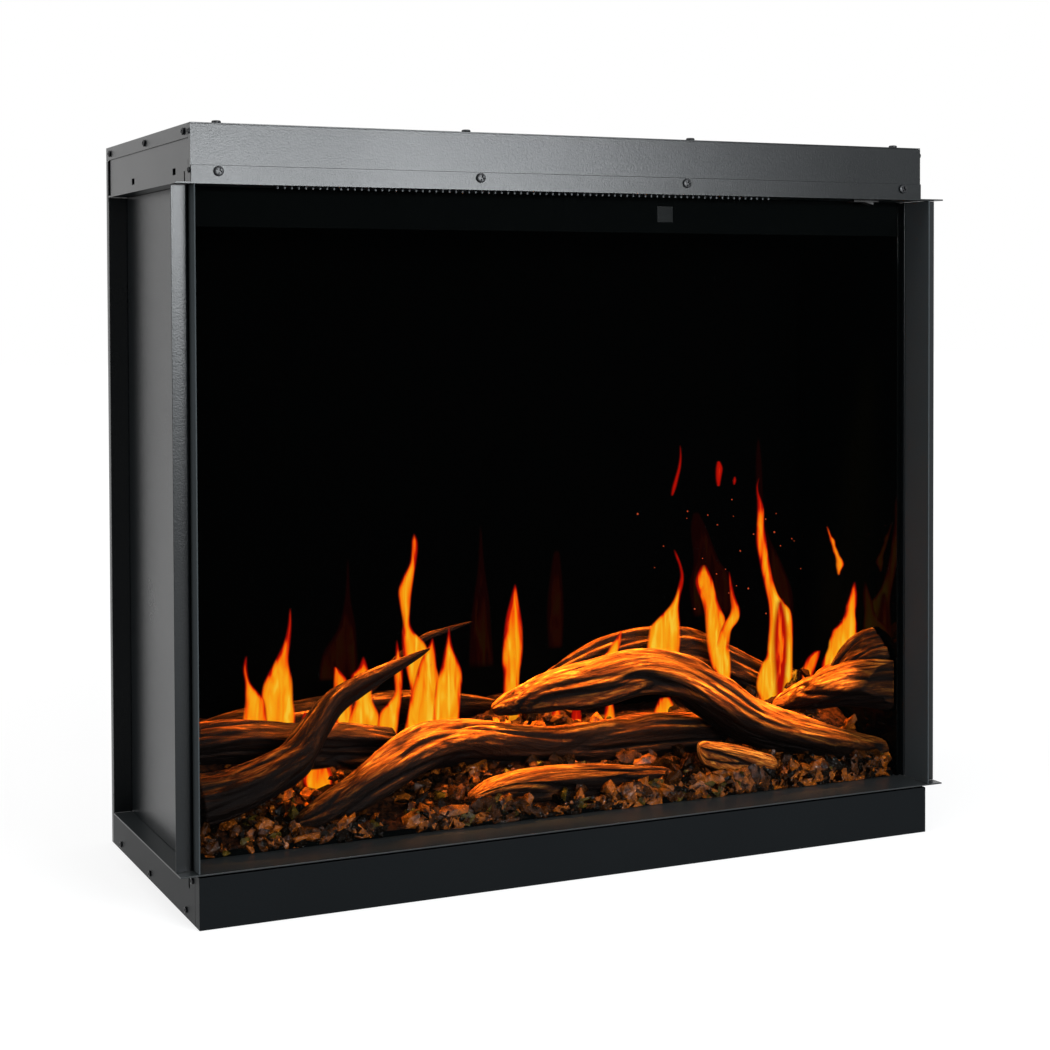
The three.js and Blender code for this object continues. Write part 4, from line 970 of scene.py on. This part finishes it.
# each row of a tongue is its height, left edge and right edge in millimetres, from foot to tip
flame_depth = 7.5
flames = {
    "left_tall": [
        (128, -298, -282), (159, -312, -273), (182, -313, -275), (204, -309, -276), (226, -297, -280),
        (247, -286, -278), (266, -281, -276.5), (285, -279, -277),
    ],
    "left_short": [
        (128, -334, -304), (162, -334, -305), (184, -331, -308), (195, -331, -316), (207, -331, -325),
        (222, -333, -328), (236, -330, -328),
    ],
    "left_spark": [(128, -271, -258), (150, -271, -257), (160, -267, -259), (170, -264, -262)],
    "fork_low": [(128, -226, -204), (178, -228, -206), (198, -228, -211), (207, -228, -217), (216, -227.5, -225)],
    "fork_middle": [
        (112, -204, -170), (137, -213, -171), (157, -211, -174), (175, -204, -182), (190, -208, -183),
        (204, -208, -186), (213, -199, -188), (225, -194, -192),
    ],
    "fork_slim": [
        (112, -184, -158), (137, -180, -153), (159, -175, -150), (170, -165, -148), (181, -157, -147),
        (200, -157, -146), (215, -156, -147), (228, -155, -150), (241, -154, -152.5),
    ],
    "middle_tall": [
        (112, -150, -108), (145, -142, -100), (178, -136, -98), (200, -140, -102), (223, -145, -112),
        (237, -146, -120), (248, -146, -131), (260, -145, -136), (282, -149, -135), (297, -150, -133),
        (312, -144, -130.5), (326, -136.5, -128), (341, -134, -126), (352, -133.5, -126.5), (360, -131.5, -129.5),
    ],
    "middle_fill": [
        (112, -140, -98), (145, -141, -97), (167, -138, -99), (189, -133, -102), (212, -126, -104.5),
        (224, -119, -105.5), (233, -113, -107), (240, -110, -108.5),
    ],
    "middle_right": [
        (112, -112, -78), (141, -111, -77), (176, -108, -74.5), (190, -105, -73), (201, -101, -74), (211, -98, -78),
        (222, -96, -83), (234, -93, -86.5), (245, -91, -88), (252, -90, -89),
    ],
    "centre": [
        (125, -20, 2), (161, -21, 0), (190, -20, 1), (204, -22, 3.5), (218, -21.5, 5), (232, -20, 5),
        (246, -18.5, 4.5), (260, -16, 2.5), (274, -12, 0), (287, -8, -2), (295, -5.5, -4),
    ],
    "arch_spark": [
        (182, 104, 122), (201, 110, 127), (208, 115, 130), (215, 120, 132.5), (222, 126, 134), (231, 132, 134.5),
    ],
    "arch_left": [
        (178, 162, 208), (209, 167, 213), (221, 169, 213), (233, 172, 213), (243, 183, 212), (256, 198, 211.5),
        (268, 206, 213.5), (280, 210, 217), (292, 213, 218), (304, 211, 215), (314, 207, 211), (324, 203.5, 206),
    ],
    "arch_middle": [
        (138, 250, 284), (163, 265, 285), (178, 258, 285.5), (192, 254, 284), (207, 251.5, 281), (222, 250, 279),
        (236, 249, 277.5), (245, 248, 273), (258, 244.5, 267), (270, 239, 264), (282, 235.5, 260.5),
        (292, 238, 256), (303, 244, 250.5),
    ],
    "arch_middle_horn": [
        (200, 262, 282), (219, 268, 285), (230, 274, 294), (238, 281, 297.5), (247, 284.5, 297), (256, 284, 293),
        (265, 283, 289.5), (278, 282, 286), (293, 281.5, 283),
    ],
    "right_tall": [
        (95, 322, 360), (127, 326, 366), (146, 320, 371), (160, 321, 372.5), (175, 327, 372.5), (185, 334, 372.5),
        (205, 336.5, 373), (225, 338, 372.5), (240, 338, 369), (252, 336.5, 358), (266, 333, 349),
        (286, 328, 342.5), (306, 323.5, 338), (326, 319.5, 335), (346, 320, 331.5), (366, 321, 331),
        (378, 321, 327.5), (388, 320, 323.5), (397, 320, 322.5), (406, 323, 325),
    ],
    "right_low": [
        (128, 390, 402), (150, 388, 403), (160, 388, 406), (170, 391, 410), (178, 396, 413.5), (186, 407, 415.5),
    ],
}
# painted reflection: tongues that stand further forward, beside the right-hand glass, for the flames' mirror image
# in that glass
side_flames = {
    "far_right": [
        (140, 372, 408), (164, 372, 412), (181, 373, 416), (190, 376, 420), (201, 381.8, 423), (209, 383.3, 424),
        (216, 386.2, 424), (223, 389, 423.9), (229, 397, 423.8), (237, 403.5, 422.4), (244, 406.4, 422.4),
        (251, 407.8, 423.6), (258, 410.7, 424), (265, 413.6, 424), (272, 416, 423), (280, 419, 422),
    ],
    "far_right_wisp": [
        (289, 396, 399), (294, 394.8, 400.5), (301, 393.3, 404.9), (307, 393.3, 403.4), (313, 391.9, 399.1),
        (319, 389, 396.2), (325, 387.5, 393.3), (332, 384.7, 391.9), (338, 383.2, 387), (350, 378.9, 381.8),
    ],
}
# red light: the core that shows through the tallest tongue, and the wisps that have broken away above
red_flames = {
    "right_core": [
        (130, 343, 357), (150, 341, 361), (175, 339, 364), (200, 338, 365), (222, 339, 364), (240, 342, 361),
        (256, 346, 357),
    ],
    "high_wisp": [
        (389, 198, 201), (399, 199.5, 205.5), (411, 203.5, 209), (423, 207.5, 212), (436, 210, 213),
        (450, 210.5, 211.5),
    ],
    "high_spark": [(398, 262, 266), (408, 260, 268), (420, 260, 270), (429, 262, 266)],
    "high_ember": [(399, 285, 287), (404, 284, 289), (409, 286, 288)],
}
# light that shows through the gaps below the logs
low_flames = {
    "under_fork": [(90, -276, -258), (98, -282, -255), (108, -287, -253), (120, -285, -256)],
    "under_arch_1": [(100, 40, 55), (118, 41, 55), (134, 41, 54), (152, 44, 52)],
    "under_arch_2": [(100, 66, 82), (118, 66, 82), (134, 67, 81), (152, 70, 78)],
    "under_arch_3": [(100, 108, 124), (118, 109, 125), (134, 111, 125), (152, 115, 122)],
    "under_arch_4": [(100, 176, 206), (118, 177, 208), (130, 178, 208), (146, 186, 200)],
}
# painted reflections: very dim red glowing sheets that stand for the second images of the flames in the smoked
# screen
ghost_flames = {
    "ghost_1": [(190, -228, -178), (220, -224, -180), (250, -205, -182), (285, -196, -188), (330, -193, -190)],
    "ghost_2": [(190, -42, -8), (240, -40, -12), (270, -36, -14), (310, -30, -20), (360, -27, -24)],
    "ghost_3": [(205, 62, 82), (250, 60, 84), (290, 64, 82), (325, 70, 78)],
    "ghost_4": [(230, 262, 318), (270, 256, 322), (300, 262, 300), (340, 258, 282), (362, 262, 270)],
    "ghost_5": [
        (200, 376, 408), (250, 376, 408), (290, 364, 392), (340, 354, 368), (420, 352, 362), (452, 355, 358),
    ],
}


def flame_sheet(name, rows, forward=0.0, redness=0.0, solid=1.0, soft=1.0):
    """A fine grid is drawn out to a tongue's outline and bowed a little, so that it isn't a flat card."""
    sheet = fine_grid("flame_" + name, 12, 10 * len(rows))
    outline = [(Vector(row), 0.0) for row in rows]
    tongue = []
    for vertex in sheet.data.vertices:
        across, up = vertex.co.x * 2, vertex.co.y + 0.5
        height, left, right = along_spline(outline, up)[0]
        half = max((right - left) / 2 + 0.9, 0.2)
        bow = 2.0 * (1 - across * across) * min(half / 12, 1)
        vertex.co = Vector(((left + right) / 2 + across * half, flame_depth - forward - bow, height)) / 1000
        tongue += [half * soft, redness, solid]
    sheet.data.attributes.new("tongue", "FLOAT_VECTOR", "POINT").data.foreach_set("vector", tongue)
    bpy.ops.object.shade_smooth()
    sheet.data.materials.append(flame)
    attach(sheet, "casing")


# the sheets stand one behind the other, so that no two share a plane
forward_step, at_side_glass, on_core, behind_screen = 1.5, 67, 7, -52
for i, (name, rows) in enumerate(flames.items()):
    flame_sheet(name, rows, forward_step * (i % 3))
for name, rows in side_flames.items():
    flame_sheet(name, rows, at_side_glass)
for name, rows in red_flames.items():
    flame_sheet(name, rows, on_core, *((0.42, 1.0, 0.46) if name == "right_core" else (0.68, 1.0, 1.0)))
for name, rows in low_flames.items():
    front = at_side_glass if name == "under_fork" else 0
    flame_sheet(name, rows, front, 0.55 if name == "under_arch_2" else 0.0)
for name, rows in ghost_flames.items():
    flame_sheet(name, rows, behind_screen, 0.55, 0.012)


# ------------ sparks
# A few dots of the same red light drift over the tallest tongues, each a small rough ball. They hang
# in the plane of the flames and stand for no solid.
dot = small_ball(1)
spark_count, spark_y = 26, 0.004
corners = []
for _ in range(spark_count):
    centre = Vector((dice.uniform(0.150, 0.400), spark_y, dice.triangular(0.19, 0.43, 0.34)))
    size = dice.uniform(0.0006, 0.0013)
    corners += [centre + corner * size * (0.8 + 0.4 * dice.random()) for corner in dot[0]]
# a spark of projected light: red with a paler heart
spark_light = patterned(
    "projected_spark_light",
    {"Scale": 40.0},
    {"Base Color": (0, 0, 0, 1), "Specular IOR Level": 0.0, "Emission Strength": 0.8},
    tones=("#7A1208", "#FF6A3C"),
    tinted="Emission Color",
)
sparks = many_copies("flame_sparks", corners, dot, spark_light)
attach(sparks, "casing")


# ------------ inner lamps
# Amber downlights behind the header, the glow that the flame lamps throw on the logs from behind, and
# a weak strip low behind the front pane. None of them is seen in the glass.
for lamp, spread in (
    (soft_lamp("ember_downlight", (0.05, -0.10, 0.66), (0.05, -0.005, 0.1), 0.72, 0.04, 6, (1.0, 0.50, 0.14)), 26),
    (soft_lamp("flame_glow", (0, 0.060, 0.44), (0, -0.04, 0.1), 0.80, 0.03, 3.5, (1.0, 0.42, 0.09)), 34),
    (soft_lamp("ember_glow", (0.08, -0.125, 0.20), (0.08, -0.06, 0.07), 0.60, 0.02, 0.7, (1.0, 0.50, 0.16)), 60),
):
    lamp.visible_glossy = False
    lamp.data.spread = math.radians(spread)

# The screw that the others were copied from goes, and so do meshes that nothing uses
bpy.data.objects.remove(screw_blank)
for orphan in [m for m in bpy.data.meshes if not m.users]:
    bpy.data.meshes.remove(orphan)
